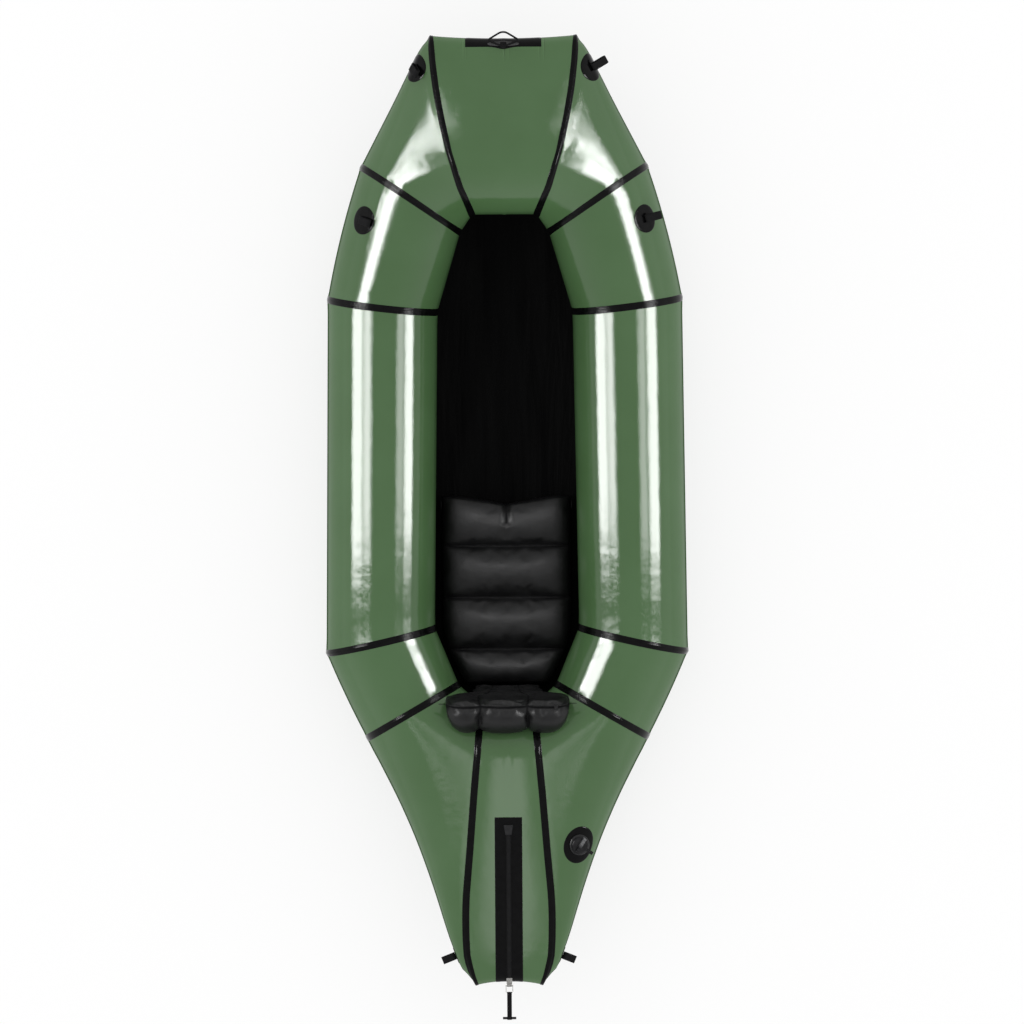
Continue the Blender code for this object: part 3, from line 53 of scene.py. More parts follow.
# title, place, size, what it faces, radiance, the panels that it is flagged to ("" is all but the main tubes)
STRIPS = (
    ("left_main", (-2.30, 0.40, 1.915), (1.87, 1.00), (-1.353, 0.40, 2.236), 34.0, "main_tube"),
    ("left_upper", (-2.073, 0.40, 3.19), (1.036, 1.00), (-1.282, 0.40, 2.578), 27.0, "main_tube"),
    ("left_fade", (-2.30, -0.135, 1.915), (1.87, 0.07), (-1.353, -0.135, 2.236), 10.0, "main_tube"),
    ("right_main", (2.10, 0.40, 1.72), (0.997, 1.00), (1.117, 0.40, 1.534), 34.0, "main_tube"),
    ("right_upper", (1.5475, 0.40, 2.55), (0.883, 1.00), (0.6865, 0.40, 2.041), 12.0, "main_tube"),
    ("right_fade", (2.10, -0.135, 1.72), (0.997, 0.07), (1.117, -0.135, 1.534), 10.0, "main_tube"),
    ("left_strip", (-2.90, 0.365, 2.84), (1.25, 0.79), (-0.35, 0.365, 0.28), 44.0, ""),
    ("left_strip_edge", (-2.90, 0.365, 2.84), (2.10, 0.79), (-0.35, 0.365, 0.28), 2.5, ""),
    ("left_strip_bend", (-2.90, 0.83, 2.40), (0.60, 0.14), (-0.25, 0.83, 0.35), 40.0, ""),
    ("left_strip_bow", (-2.90, 1.05, 1.83), (0.11, 0.56), (-0.20, 1.05, 0.39), 84.0, ""),
    ("right_strip", (2.98, 0.365, 2.58), (1.00, 0.79), (0.35, 0.365, 0.28), 44.0, ""),
    ("right_strip_edge", (2.98, 0.365, 2.58), (1.70, 0.79), (0.35, 0.365, 0.28), 2.5, ""),
    ("right_strip_bend", (2.98, 0.83, 2.35), (0.60, 0.14), (0.25, 0.83, 0.35), 40.0, ""),
    ("right_strip_bow", (2.98, 1.04, 1.86), (0.11, 0.54), (0.20, 1.04, 0.39), 80.0, ""),
    ("right_aft_strip", (2.98, 1.10, 2.25), (1.50, 0.52), (-0.25, -0.35, 0.28), 36.0, "aft_quarter"),
    ("left_aft_strip", (-2.90, 1.15, 2.90), (2.60, 0.70), (0.25, -0.35, 0.28), 36.0, "aft_quarter"),
    ("left_crown", (-1.01, 1.96, 3.20), (0.20, 0.18), (-0.13, 1.08, 0.41), 30.0, "bow_centre"),
    ("right_crown", (1.01, 1.96, 3.20), (0.20, 0.18), (0.13, 1.08, 0.41), 22.0, "bow_centre"),
    ("left_stern_spot", (-1.17, -1.02, 3.20), (0.20, 0.20), (-0.22, -0.56, 0.30), 5.0, "stern_side"),
    ("right_stern_spot", (1.12, -1.00, 3.20), (0.20, 0.20), (0.22, -0.56, 0.30), 4.0, "stern_side"),
    ("stern_softbox", (0.0, -1.10, 3.20), (1.50, 1.10), (0.0, -1.0, 0.30), 2.6, "stern"),
    ("seat_softbox", (0.0, 0.72, 3.10), (1.30, 0.55), (0.0, -0.15, 0.10), 13.0, "cushion"),
    ("backrest_softbox", (0.0, 1.50, 2.70), (0.90, 0.30), (0.0, -0.45, 0.35), 3.5, "backrest"),
)

lens = bpy.data.cameras.new("camera")
lens.lens = LENS_MM
lens.sensor_width = SENSOR_MM
lens.clip_end = CLIP_M
camera = bpy.data.objects.new("camera", lens)
camera.rotation_euler.z = VIEW_TURN
camera.location = Vector(VIEW_CENTRE) + Vector((0, 0, SCALE_M * LENS_MM / SENSOR_MM))
bpy.context.scene.collection.objects.link(camera)
bpy.context.scene.camera = camera
bpy.context.scene.view_settings.view_transform = "Standard"

# The pieces join these collections where they are made. The one without a key leaves its pieces out instead.
flags = dict.fromkeys(key for *_, key in STRIPS)
flagged = {key: bpy.data.collections.new(f"lit_{key or 'ends'}") for key in flags}
for title, place, (width, length), aim, radiance, key in STRIPS:
    lamp = bpy.data.lights.new(title, "AREA")
    lamp.shape = "RECTANGLE"
    lamp.size = width
    lamp.size_y = length
    lamp.energy = radiance * width * length * math.pi
    softbox = bpy.data.objects.new(title, lamp)
    back = (Vector(place) - Vector(aim)).normalized()
    sideways = Vector((0, 1, 0)).cross(back).normalized() if abs(back.x) > abs(back.y) else Vector((1, 0, 0))
    turned = Matrix((sideways, back.cross(sideways), back)).transposed().to_4x4()
    softbox.matrix_world = Matrix.Translation(place) @ turned
    softbox.visible_diffuse = False
    softbox.visible_camera = False
    softbox.light_linking.receiver_collection = flagged[key]
    bpy.context.scene.collection.objects.link(softbox)

world = bpy.data.worlds.new("studio")
bpy.context.scene.world = world
world.use_nodes = True
sky_nodes, sky_links = world.node_tree.nodes, world.node_tree.links
sky = sky_nodes.new("ShaderNodeTexCoord")
sky_parts = sky_nodes.new("ShaderNodeSeparateXYZ")
dome = sky_nodes.new("ShaderNodeMapRange")
for key, value in SKY_LIGHT.items():
    dome.inputs[key].default_value = value
sky_links.new(sky.outputs["Generated"], sky_parts.inputs["Vector"])
sky_links.new(sky_parts.outputs["Z"], dome.inputs["Value"])
sky_links.new(dome.outputs["Result"], sky_nodes["Background"].inputs["Strength"])
sky_nodes["Background"].inputs["Color"].default_value = (1.0, 1.0, 1.0, 1.0)

floor_bm = bmesh.new()
bmesh.ops.create_grid(floor_bm, x_segments=1, y_segments=1, size=FLOOR_HALF_M)
floor_mesh = bpy.data.meshes.new("studio_floor")
floor_bm.to_mesh(floor_mesh)
floor_bm.free()
studio_floor = bpy.data.objects.new("studio_floor", floor_mesh)
bpy.context.scene.collection.objects.link(studio_floor)
floor_paint = bpy.data.materials.new("studio_floor")
floor_paint.use_nodes = True
floor_nodes, floor_links = floor_paint.node_tree.nodes, floor_paint.node_tree.links
floor_nodes["Principled BSDF"].inputs["Base Color"].default_value = (0.985, 0.985, 0.985, 1.0)
floor_nodes["Principled BSDF"].inputs["Roughness"].default_value = 0.9
glow = floor_nodes.new("ShaderNodeEmission")
path = floor_nodes.new("ShaderNodeLightPath")
seen = floor_nodes.new("ShaderNodeMath")
seen_too = floor_nodes.new("ShaderNodeMath")
share = floor_nodes.new("ShaderNodeMath")
both = floor_nodes.new("ShaderNodeMixShader")
share.operation = "MULTIPLY"
share.inputs[1].default_value = FLOOR_GLOW
seen_too.use_clamp = True
floor_links.new(path.outputs["Is Camera Ray"], seen.inputs[0])
floor_links.new(path.outputs["Is Glossy Ray"], seen.inputs[1])
floor_links.new(seen.outputs[0], seen_too.inputs[0])
floor_links.new(path.outputs["Is Transmission Ray"], seen_too.inputs[1])
floor_links.new(seen_too.outputs[0], share.inputs[0])
floor_links.new(share.outputs[0], both.inputs[0])
floor_links.new(floor_nodes["Principled BSDF"].outputs[0], both.inputs[1])
floor_links.new(glow.outputs[0], both.inputs[2])
floor_links.new(both.outputs[0], floor_nodes["Material Output"].inputs["Surface"])
floor_mesh.materials.append(floor_paint)

# Hull panels. Twelve pieces of polyurethane-coated nylon are welded edge to edge into one closed loop of tube,
# round along the sides, and belt-shaped over the bow and the long tapered stern. Air pressure draws them tight.
AROUND = 112
ROUND_STEPS = AROUND // 4
HULL_LENGTH, HULL_BEAM, TUBE = 2.495, 0.955, 0.290
RADIUS = TUBE / 2
KEEL = 0.0011
CENTRE_SHIFT = 0.0404
WALL = 0.0008
DECK_PLACES = (3, 4, 5, 6, 7)
DECK_SHARES = (1.0, 0.80, 0.55, 0.28, 0.0)
EASE, END_FADE = 0.06, 12
SETTLING = 10


def tube_ring(width):
    """A round section: the distances from its inboard edge, and the heights."""
    turn = np.arange(AROUND) * 2 * math.pi / AROUND
    return width / 2 * (1 + np.cos(turn)), RADIUS * np.sin(turn)


def belt_ring(length, nose_radius, nose_rise):
    """The long section of the bow or the stern: round inboard, with a small raised nose at its far end."""
    across, up = tube_ring(TUBE)
    run = length - RADIUS - nose_radius
    lean = math.atan2(nose_rise, run)
    opening = math.acos((RADIUS - nose_radius) / math.hypot(run, nose_rise))
    place = np.arange(ROUND_STEPS + 1) * DECK_PLACES[-1] / ROUND_STEPS
    for side in (1, -1):
        touch = opening + side * lean
        arc = np.linspace(math.pi / 2, touch, 200)
        path_across = np.append(RADIUS * (1 + np.cos(arc)), length + nose_radius * (math.cos(touch) - 1))
        path_up = np.append(side * RADIUS * np.sin(arc), nose_rise + side * nose_radius * math.sin(touch))
        travel = np.append(0, np.cumsum(np.hypot(np.diff(path_across), np.diff(path_up))))
        reach = np.interp(place, DECK_PLACES, DECK_SHARES) * travel[-1]
        turn = np.minimum(place / DECK_PLACES[0], 1) * touch
        on_nose = place < DECK_PLACES[0]
        part_across = np.where(
            on_nose, length + nose_radius * (np.cos(turn) - 1), np.interp(reach, travel, path_across)
        )
        part_up = np.where(
            on_nose, nose_rise + side * nose_radius * np.sin(turn), np.interp(reach, travel, path_up)
        )
        spot = side * np.arange(ROUND_STEPS + 1) % AROUND
        across[spot] = part_across
        up[spot] = part_up
    return across, up


def seam_ring(tip, heading, section, height, spread=0.0, spread_shares=((0, 0), (1, 0)), lean=0.0):
    """Stands a section at its seam, and says what share of the way outboard each point lies."""
    across, up = section
    share = across / across.max()
    along = (math.cos(math.radians(heading)), math.sin(math.radians(heading)))
    side = spread * np.interp(share, *zip(*spread_shares))
    x = tip[0] + along[0] * (across.max() - across) - abs(along[1]) * side
    y = tip[1] + along[1] * (across.max() - across) - lean * up + CENTRE_SHIFT
    return np.stack([x, y, height + up], axis=1), share


def tip_at(half_beam_share, length_share):
    """The outboard tip of a port seam, in plan."""
    return -half_beam_share * HULL_BEAM / 2, (length_share - 0.5) * HULL_LENGTH


BASE = RADIUS + KEEL
BOW_Z, STERN_Z = BASE + 0.139, BASE + 0.019
BOW_TIP, STERN_TIP = tip_at(0.402, 1.0), tip_at(0.184, 0.0)
BOW_LONG, STERN_LONG = 0.482, 0.742
BOW_HEADING = -77.1
BOW_RECESS, STERN_RECESS = 0.009, 0.0105
BOW_NOSE_RADIUS, BOW_NOSE_RISE = 0.025, 0.075
STERN_NOSE_RADIUS, STERN_NOSE_RISE = 0.020, 0.090
MIDDLE_RISE = 0.010
BOW_MIDDLE, STERN_MIDDLE = BOW_TIP[1] - BOW_RECESS, STERN_TIP[1] + STERN_RECESS
bow_inboard = BOW_TIP[1] + BOW_LONG * math.sin(math.radians(BOW_HEADING))
stern_inboard = STERN_TIP[1] + STERN_LONG
BOW_SPREAD = ((0, 0), (0.146, 0.68), (0.343, 1), (0.54, 0.96), (0.70, 0.79), (0.85, 0.47), (1, 0))
STERN_SPREAD = (
    (0, 0), (0.10, 0), (0.31, 0.38), (0.52, 0.69), (0.70, 1.0),
    (0.80, 0.98), (0.89, 0.86), (0.955, 0.48), (1, 0),
)
bow_nose, stern_nose = (BOW_NOSE_RADIUS, BOW_NOSE_RISE), (STERN_NOSE_RADIUS, STERN_NOSE_RISE)
# outboard tip, heading inboard in degrees from starboard, section, height, spread and its shares, lean
SEAMS = (
    seam_ring((0, BOW_MIDDLE), -90, belt_ring(BOW_MIDDLE - bow_inboard, *bow_nose), BOW_Z + MIDDLE_RISE),
    seam_ring(BOW_TIP, BOW_HEADING, belt_ring(BOW_LONG, *bow_nose), BOW_Z, 0.024, BOW_SPREAD),
    seam_ring(tip_at(0.793, 0.864), -33.7, tube_ring(1.09 * TUBE), BASE + 0.055),
    seam_ring(tip_at(0.981, 0.725), -6.8, tube_ring(1.012 * TUBE), BASE, lean=0.073),
    seam_ring(tip_at(1.0, 0.351), 12.7, tube_ring(1.02 * TUBE), BASE, lean=0.047),
    seam_ring(tip_at(0.779, 0.2605), 30.0, tube_ring(0.974 * TUBE), BASE + 0.006),
    seam_ring(STERN_TIP, 88.9, belt_ring(STERN_LONG, *stern_nose), STERN_Z, 0.0295, STERN_SPREAD),
    seam_ring((0, STERN_MIDDLE), 90, belt_ring(stern_inboard - STERN_MIDDLE, *stern_nose), STERN_Z + MIDDLE_RISE),
)
CORNER_SWELL = ((0, 0), (0.12, 1), (0.5, 0.35), (1, 0))
STERN_SWELL = (
    (0, 0), (0.25, -0.68), (0.41, -0.70), (0.57, -0.24), (0.66, 0.17),
    (0.74, 0.58), (0.82, 0.98), (0.93, 1.05), (0.965, 1.25), (0.986, 1), (1, 0),
)
# name, rows, outward swell, its shares along the panel (none for a plain arch), whether it crosses the middle
PANELS = (
    ("bow_centre", 12, 0, None, True),
    ("bow_side", 24, 0.008, CORNER_SWELL, False),
    ("bow_quarter", 20, 0.007, None, False),
    ("main_tube", 24, 0, None, False),
    ("aft_quarter", 14, 0.003, None, False),
    ("stern_side", 40, 0.016, STERN_SWELL, False),
    ("stern_centre", 8, 0, None, True),
)


def eased(at, shares):
    """A plain arch, or the table's value with its corners rounded off, so that no crease shows in the gloss."""
    if shares is None:
        return 4 * at * (1 - at)
    near = [np.interp(min(1, max(0, at + step)), *zip(*shares)) for step in np.linspace(-EASE, EASE, 7)]
    return sum(near) / len(near) * min(1, END_FADE * at, END_FADE * (1 - at))


def panel_ring(number, at):
    """The ring at this share of the way from one seam of a panel to the next."""
    (start, start_out), (end, end_out) = SEAMS[number], SEAMS[number + 1]
    _, _, swell, shares, across_middle = PANELS[number]
    middle = start + (end - start) * at
    if across_middle:
        from_middle = number == 0
        part = at if from_middle else 1 - at
        bend = part ** 2 if from_middle else 1 - part ** 2
        middle[:, 1:] = start[:, 1:] + (end[:, 1:] - start[:, 1:]) * bend
    run = end[0, :2] - start[0, :2]
    outward = np.array([run[1], -run[0], 0.0]) / math.hypot(*run)
    out = start_out + (end_out - start_out) * at
    return middle + swell * eased(at, shares) * outward * (out ** 2)[:, None]


def settled(rings):
    """Lets the inner rings of a panel relax round the tube, as pressure does, so that no ridge runs along it."""
    rings = rings.copy()
    for _ in range(SETTLING):
        around = (np.roll(rings, 1, axis=1) + 2 * rings + np.roll(rings, -1, axis=1)) / 4
        rings[1:-1] = around[1:-1]
    return rings


port = [settled(np.array([panel_ring(number, at) for at in np.linspace(0, 1, rows + 1)]))
        for number, (_, rows, _, _, _) in enumerate(PANELS)]
MIRROR = np.array([-1.0, 1.0, 1.0])


def piece(title, bm, finish, body, replaced=()):
    """Makes the mesh a shown object that rides on a body."""
    mesh = bpy.data.meshes.new(title)
    for face in bm.faces:
        face.smooth = True
    for edge in bm.edges:
        edge.smooth = not edge.is_boundary
    bm.to_mesh(mesh)
    bm.free()
    mesh.materials.append(finish)
    shown = bpy.data.objects.new(title, mesh)
    bpy.context.scene.collection.objects.link(shown)
    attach(shown, body)
    if replaced:
        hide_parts(*replaced)
    return shown


def thickened(sheet, depth):
    """Gives a sheet its thickness, behind the face that shows."""
    wall = sheet.modifiers.new("wall", "SOLIDIFY")
    wall.thickness = depth
    wall.offset = -1


def draped(across, along, place, closed=False, flip=False):
    """A grid whose points are laid where a function of its two shares says."""
    bm = bmesh.new()
    bmesh.ops.create_grid(bm, x_segments=across, y_segments=along, size=1)
    for point in bm.verts:
        point.co = place((point.co.x + 1) / 2, (point.co.y + 1) / 2)
    if closed:
        bmesh.ops.remove_doubles(bm, verts=bm.verts, dist=1e-6)
    if flip:
        bmesh.ops.reverse_faces(bm, faces=bm.faces)
    return bm


def finish_nodes(name, metallic=0.0):
    """Starts a material, and gives it with its shader and the coordinates that its patterns read."""
    paint = bpy.data.materials.new(name + "_look")
    paint.use_nodes = True
    shader = paint.node_tree.nodes["Principled BSDF"]
    shader.inputs["Metallic"].default_value = metallic
    coordinates = paint.node_tree.nodes.new("ShaderNodeTexCoord")
    return paint, shader, coordinates.outputs["Object"]


def node(paint, kind, inputs, **settings):
    """Adds a shader node whose inputs are linked to sockets or set to values."""
    made = paint.node_tree.nodes.new("ShaderNode" + kind)
    for key, value in settings.items():
        setattr(made, key, value)
    for key, value in inputs.items():
        if isinstance(value, bpy.types.NodeSocket):
            paint.node_tree.links.new(value, made.inputs[key])
        else:
            made.inputs[key].default_value = value
    return made


def mottled(paint, shader, coords, scale, light, dark, rough_low, rough_high):
    """Slow cloudy change of colour and of roughness."""
    cloud = node(paint, "TexNoise", {"Vector": coords, "Scale": scale, "Detail": 4.0})
    shades = node(paint, "ValToRGB", {"Fac": cloud.outputs["Fac"]})
    shades.color_ramp.elements[0].position = 0.35
    shades.color_ramp.elements[0].color = (*dark, 1)
    shades.color_ramp.elements[1].position = 0.65
    shades.color_ramp.elements[1].color = (*light, 1)
    paint.node_tree.links.new(shades.outputs["Color"], shader.inputs["Base Color"])
    rough = node(paint, "MapRange", {
        "Value": cloud.outputs["Fac"], "From Min": 0.3, "From Max": 0.7,
        "To Min": rough_low, "To Max": rough_high,
    })
    paint.node_tree.links.new(rough.outputs["Result"], shader.inputs["Roughness"])


# A wave texture of scale 1 repeats after this length.
WAVE_M = 0.314


def weave(paint, coords, pitch):
    """Threads over and under each other, as a height from two crossed waves."""
    warp = node(paint, "TexWave", {"Vector": coords, "Scale": WAVE_M / pitch}, bands_direction="X")
    weft = node(paint, "TexWave", {"Vector": coords, "Scale": WAVE_M / pitch}, bands_direction="Y")
    return node(paint, "Math", {0: warp.outputs["Fac"], 1: weft.outputs["Fac"]}, operation="MAXIMUM").outputs[0]


def bumped(paint, shader, height, distance, strength=1.0, under=None):
    """Bumps the shader's surface, on top of the bump under it."""
    inputs = {"Height": height, "Distance": distance, "Strength": strength}
    if under:
        inputs["Normal"] = under
    bump = node(paint, "Bump", inputs)
    paint.node_tree.links.new(bump.outputs["Normal"], shader.inputs["Normal"])
    return bump.outputs["Normal"]


hull_fabric, shader, coords = finish_nodes("hull_fabric")
mottled(hull_fabric, shader, coords, 5.0, (0.072, 0.142, 0.059), (0.065, 0.131, 0.052), 0.055, 0.085)
grazing = node(hull_fabric, "LayerWeight", {"Blend": 0.5})
sheen = node(hull_fabric, "MapRange", {
    "Value": grazing.outputs["Facing"], "From Min": 0.35, "From Max": 0.80, "To Min": 0.30, "To Max": 0.0,
})
hull_fabric.node_tree.links.new(sheen.outputs["Result"], shader.inputs["Specular IOR Level"])
rim_shade = node(hull_fabric, "MapRange", {
    "Value": grazing.outputs["Facing"], "From Min": 0.68, "From Max": 0.97, "To Min": 1.0, "To Max": 0.30,
})
cloudy = shader.inputs["Base Color"].links[0].from_socket
shaded = node(hull_fabric, "VectorMath", {0: cloudy, "Scale": rim_shade.outputs["Result"]}, operation="SCALE")
hull_fabric.node_tree.links.new(shaded.outputs["Vector"], shader.inputs["Base Color"])
slow = node(hull_fabric, "TexNoise", {"Vector": coords, "Scale": 22.0, "Detail": 2.0})
drift = bumped(hull_fabric, shader, slow.outputs["Fac"], 0.0006)
threads = bumped(hull_fabric, shader, weave(hull_fabric, coords, 0.0006), 0.00002, 0.5, drift)
# Short creases run back from the grab patch, where the fabric is drawn over the leading edge: where, how deep.
CREASES = ((-0.105, 0.6), (-0.099, 0.3), (0.0, 1.0), (0.013, 0.4), (0.093, 0.5), (0.105, 0.6))
CREASE_PROFILE = ((-0.0024, 0.0), (0.0, 0.5), (0.0028, -0.5), (0.0052, 0.0))
CREASED_HALF = 0.16
CREASED_FROM, CREASED_TO = 1.215, 1.258
CREASE_DEPTH, CREASE_SHADE = 0.0016, 0.9
parts = node(hull_fabric, "SeparateXYZ", {"Vector": coords})
spread_out = node(hull_fabric, "MapRange", {
    "Value": parts.outputs["X"], "From Min": -CREASED_HALF, "From Max": CREASED_HALF,
})
pulls = node(hull_fabric, "ValToRGB", {"Fac": spread_out.outputs["Result"]})
ramp = pulls.color_ramp.elements
ramp[0].color = ramp[1].color = (0.5, 0.5, 0.5, 1)
for where, depth in CREASES:
    for step, height in CREASE_PROFILE:
        level = 0.5 + height * depth
        ramp.new((where + step + CREASED_HALF) / (2 * CREASED_HALF)).color = (level, level, level, 1)
near_lip = node(hull_fabric, "MapRange", {
    "Value": parts.outputs["Y"], "From Min": CREASED_FROM, "From Max": CREASED_TO,
})
above = node(hull_fabric, "Math", {0: pulls.outputs["Color"], 1: 0.5}, operation="SUBTRACT")
creased = node(hull_fabric, "Math", {0: near_lip.outputs["Result"], 1: above.outputs[0]}, operation="MULTIPLY")
bumped(hull_fabric, shader, creased.outputs[0], CREASE_DEPTH, 1.0, threads)
lit = node(hull_fabric, "Math", {0: creased.outputs[0], 1: CREASE_SHADE, 2: 1.0}, operation="MULTIPLY_ADD")
folded = node(hull_fabric, "VectorMath", {0: shaded.outputs["Vector"], "Scale": lit.outputs[0]},
              operation="SCALE")
hull_fabric.node_tree.links.new(folded.outputs["Vector"], shader.inputs["Base Color"])

hull = {}
skin_corners, skin_faces = [], []
for number, (title, *_, middle) in enumerate(PANELS):
    for side in (("",) if middle else ("_port", "_starboard")):
        rings = port[number]
        if middle:
            other = rings[::-1] * MIRROR
            rings = np.concatenate([other, rings[1:]] if number == 0 else [rings, other[1:]])
        if side == "_starboard":
            rings = rings * MIRROR
        hull[title + side] = rings
        count = len(rings) - 1
        bm = draped(
            AROUND, count,
            lambda u, v: rings[round(v * count)][round(u * AROUND) % AROUND],
            closed=True, flip=side != "_starboard",
        )
        start = len(skin_corners)
        skin_corners += [point.co.copy() for point in bm.verts]
        skin_faces += [[start + corner.index for corner in face.verts] for face in bm.faces]
        panel = piece(f"panel_{title}{side}", bm, hull_fabric, "boat", (f"hull_{title}{side}",))
        thickened(panel, WALL)
        for key in filter(None, flagged):
            if title.startswith(key):
                flagged[key].objects.link(panel)
        if title == "main_tube":
            flagged[""].objects.link(panel)
for flag in flagged[""].collection_objects:
    flag.light_linking.link_state = "EXCLUDE"
skin = BVHTree.FromPolygons(skin_corners, skin_faces)


def lifted(point, height):
    """The point moved this far off the nearest skin."""
    place, normal, _, _ = skin.find_nearest(Vector(point))
    return place + normal * height


# Seam tapes. Every mitred seam is covered by a welded tape of black coated fabric, with two ridges that the
# welding wheel pressed along it. It starts at the floor's outer edge and goes over the tube to the cockpit floor.
SIDES = (("port", -1), ("starboard", 1))
TAPE = 0.0093
TAPE_WALL = 0.0002
TAPE_STEPS = 140
TAPE_COLUMNS = (-19.4, 82.4)
TAPE_PROFILE = (
    (-1.0, 0.00005), (-0.95, 0.0007), (-0.62, 0.0009), (-0.50, 0.0005), (-0.38, 0.0010),
    (-0.10, 0.0011), (0.0, 0.0007), (0.10, 0.0011),
    (0.38, 0.0010), (0.50, 0.0005), (0.62, 0.0009), (0.95, 0.0007), (1.0, 0.00005),
)
seam_tape, shader, coords = finish_nodes("seam_tape")
mottled(seam_tape, shader, coords, 60.0, (0.0034, 0.0034, 0.0036), (0.0020, 0.0020, 0.0022), 0.08, 0.16)
shader.inputs["Specular IOR Level"].default_value = 0.09
grain = node(seam_tape, "TexNoise", {"Vector": coords, "Scale": 260.0, "Detail": 3.0})
bumped(seam_tape, shader, grain.outputs["Fac"], 0.0004, 0.6)


def column(rings, where):
    """The line along a panel at a place round its section, between two of its points."""
    low = math.floor(where)
    part = where - low
    return rings[:, low % AROUND] * (1 - part) + rings[:, (low + 1) % AROUND] * part


def facing(point, side):
    """The skin's direction at a seam, between those of the two panels that meet there."""
    beside = [skin.find_nearest(Vector(point + way * side * TAPE / 2))[1] for way in (-1, 1)]
    return (beside[0] + beside[1]).normalized()


def tape_point(seam, where, distance):
    """A point this far from the seam, measured square to it along the skin."""
    spot = column(seam, where)[0]
    along = Vector(column(seam, where + 1)[0] - column(seam, where - 1)[0]).normalized()
    _, normal, _, _ = skin.find_nearest(Vector(spot))
    square = along.cross(normal).normalized()
    square = along.cross(facing(spot, np.array(square))).normalized()
    return Vector(spot) + square * distance


for number, title in enumerate(("bow", "bow_quarter", "fore", "aft", "stern_quarter", "stern"), start=1):
    for side, sign in SIDES:
        table = [
            [
                lifted(np.array(tape_point(port[number][:1], where, share * TAPE)) * (-sign, 1, 1), height)
                for where in np.linspace(*TAPE_COLUMNS, TAPE_STEPS + 1)
            ]
            for share, height in TAPE_PROFILE
        ]
        bm = draped(
            TAPE_STEPS, len(TAPE_PROFILE) - 1,
            lambda u, v: table[round(v * (len(TAPE_PROFILE) - 1))][round(u * TAPE_STEPS)],
            flip=sign > 0,
        )
        tape = piece(f"tape_{title}_{side}", bm, seam_tape, "boat", (f"seam_tape_{title}_{side}",))
        thickened(tape, TAPE_WALL)

# Floor. One black sheet closes the bottom from side to side, and its border is welded up under the tubes. It is
# coated nylon, heavier and duller than the hull's, and it lies a little loose in the cockpit.
BOTTOM = 84
BORDER = 8
BORDER_LIFT = 0.0007
FLOOR_DROP = 0.0003
FLOOR_WALL = 0.0008
RIPPLE, RIPPLE_START, RIPPLE_FADE = 0.0035, 0.11, 0.08
WELD_REACH = 0.0006
floor_fabric, shader, coords = finish_nodes("floor_fabric")
drawn = node(floor_fabric, "Mapping", {"Vector": coords, "Scale": (2.6, 0.25, 1.0)}).outputs["Vector"]
mottled(floor_fabric, shader, drawn, 9.0, (0.0030, 0.0030, 0.0031), (0.0008, 0.0008, 0.0009), 0.50, 0.65)
shader.inputs["Specular IOR Level"].default_value = 0.025
creases = node(floor_fabric, "TexNoise", {"Vector": drawn, "Scale": 7.0, "Detail": 5.0, "Distortion": 0.6})
folds = bumped(floor_fabric, shader, creases.outputs["Fac"], 0.006)
bumped(floor_fabric, shader, weave(floor_fabric, coords, 0.0009), 0.00008, 0.7, folds)

CROSSING = 36
across = np.linspace(0, 1, CROSSING + 1)
side_rings = np.concatenate([*(rings[:-1] for rings in port[1:5]), port[5]])


def end_line(rings):
    """The lower edge of a middle panel, with its points spaced evenly from port to starboard."""
    line = rings[:, BOTTOM]
    reach = (line[:, 0] - line[0, 0]) / (line[-1, 0] - line[0, 0])
    return np.stack([np.interp(across, reach, line[:, axis]) for axis in range(3)], axis=1)


from_port = side_rings[1:-1, BOTTOM][:, None]
between = from_port + (from_port * MIRROR - from_port) * across[:, None]
lines = np.concatenate([[end_line(hull["bow_centre"][::-1])], between, [end_line(hull["stern_centre"])]])
lines[:, :, 2] -= FLOOR_DROP
for line in lines[1:-1]:
    for point, loose in zip(line, np.sin(across * math.pi)):
        ripple = noise.noise(Vector((point[0] * 9, point[1] * 5, 0.3))) + 0.5 * noise.noise(Vector(point * 21))
        clear_of_seat = min(1, max(0, (point[1] - RIPPLE_START) / RIPPLE_FADE))
        point[2] += RIPPLE * max(0, ripple) * min(1, 3 * loose) * clear_of_seat

bm = bmesh.new()
middle_grid = bmesh.ops.create_grid(bm, x_segments=CROSSING, y_segments=len(lines) - 1, size=1)["verts"]
for point in middle_grid:
    point.co = lines[round((point.co.y + 1) / 2 * (len(lines) - 1))][round((point.co.x + 1) / 2 * CROSSING)]
for rings in (hull["bow_centre"], hull["stern_centre"], side_rings, side_rings * MIRROR):
    rows = len(rings) - 1
    border = bmesh.ops.create_grid(bm, x_segments=BORDER, y_segments=rows, size=1)["verts"]
    for point in border:
        spot = rings[round((point.co.y + 1) / 2 * rows)][BOTTOM + round((point.co.x + 1) / 2 * BORDER)]
        point.co = lifted(spot, BORDER_LIFT)
bmesh.ops.remove_doubles(bm, verts=bm.verts, dist=WELD_REACH)
bmesh.ops.recalc_face_normals(bm, faces=bm.faces)
if max(bm.faces, key=lambda face: face.calc_area()).normal.z < 0:
    bmesh.ops.reverse_faces(bm, faces=bm.faces)
floor_area = sum(face.calc_area() for face in bm.faces)
floor = piece("floor", bm, floor_fabric, "boat", ("floor_sheet",))
thickened(floor, FLOOR_WALL)

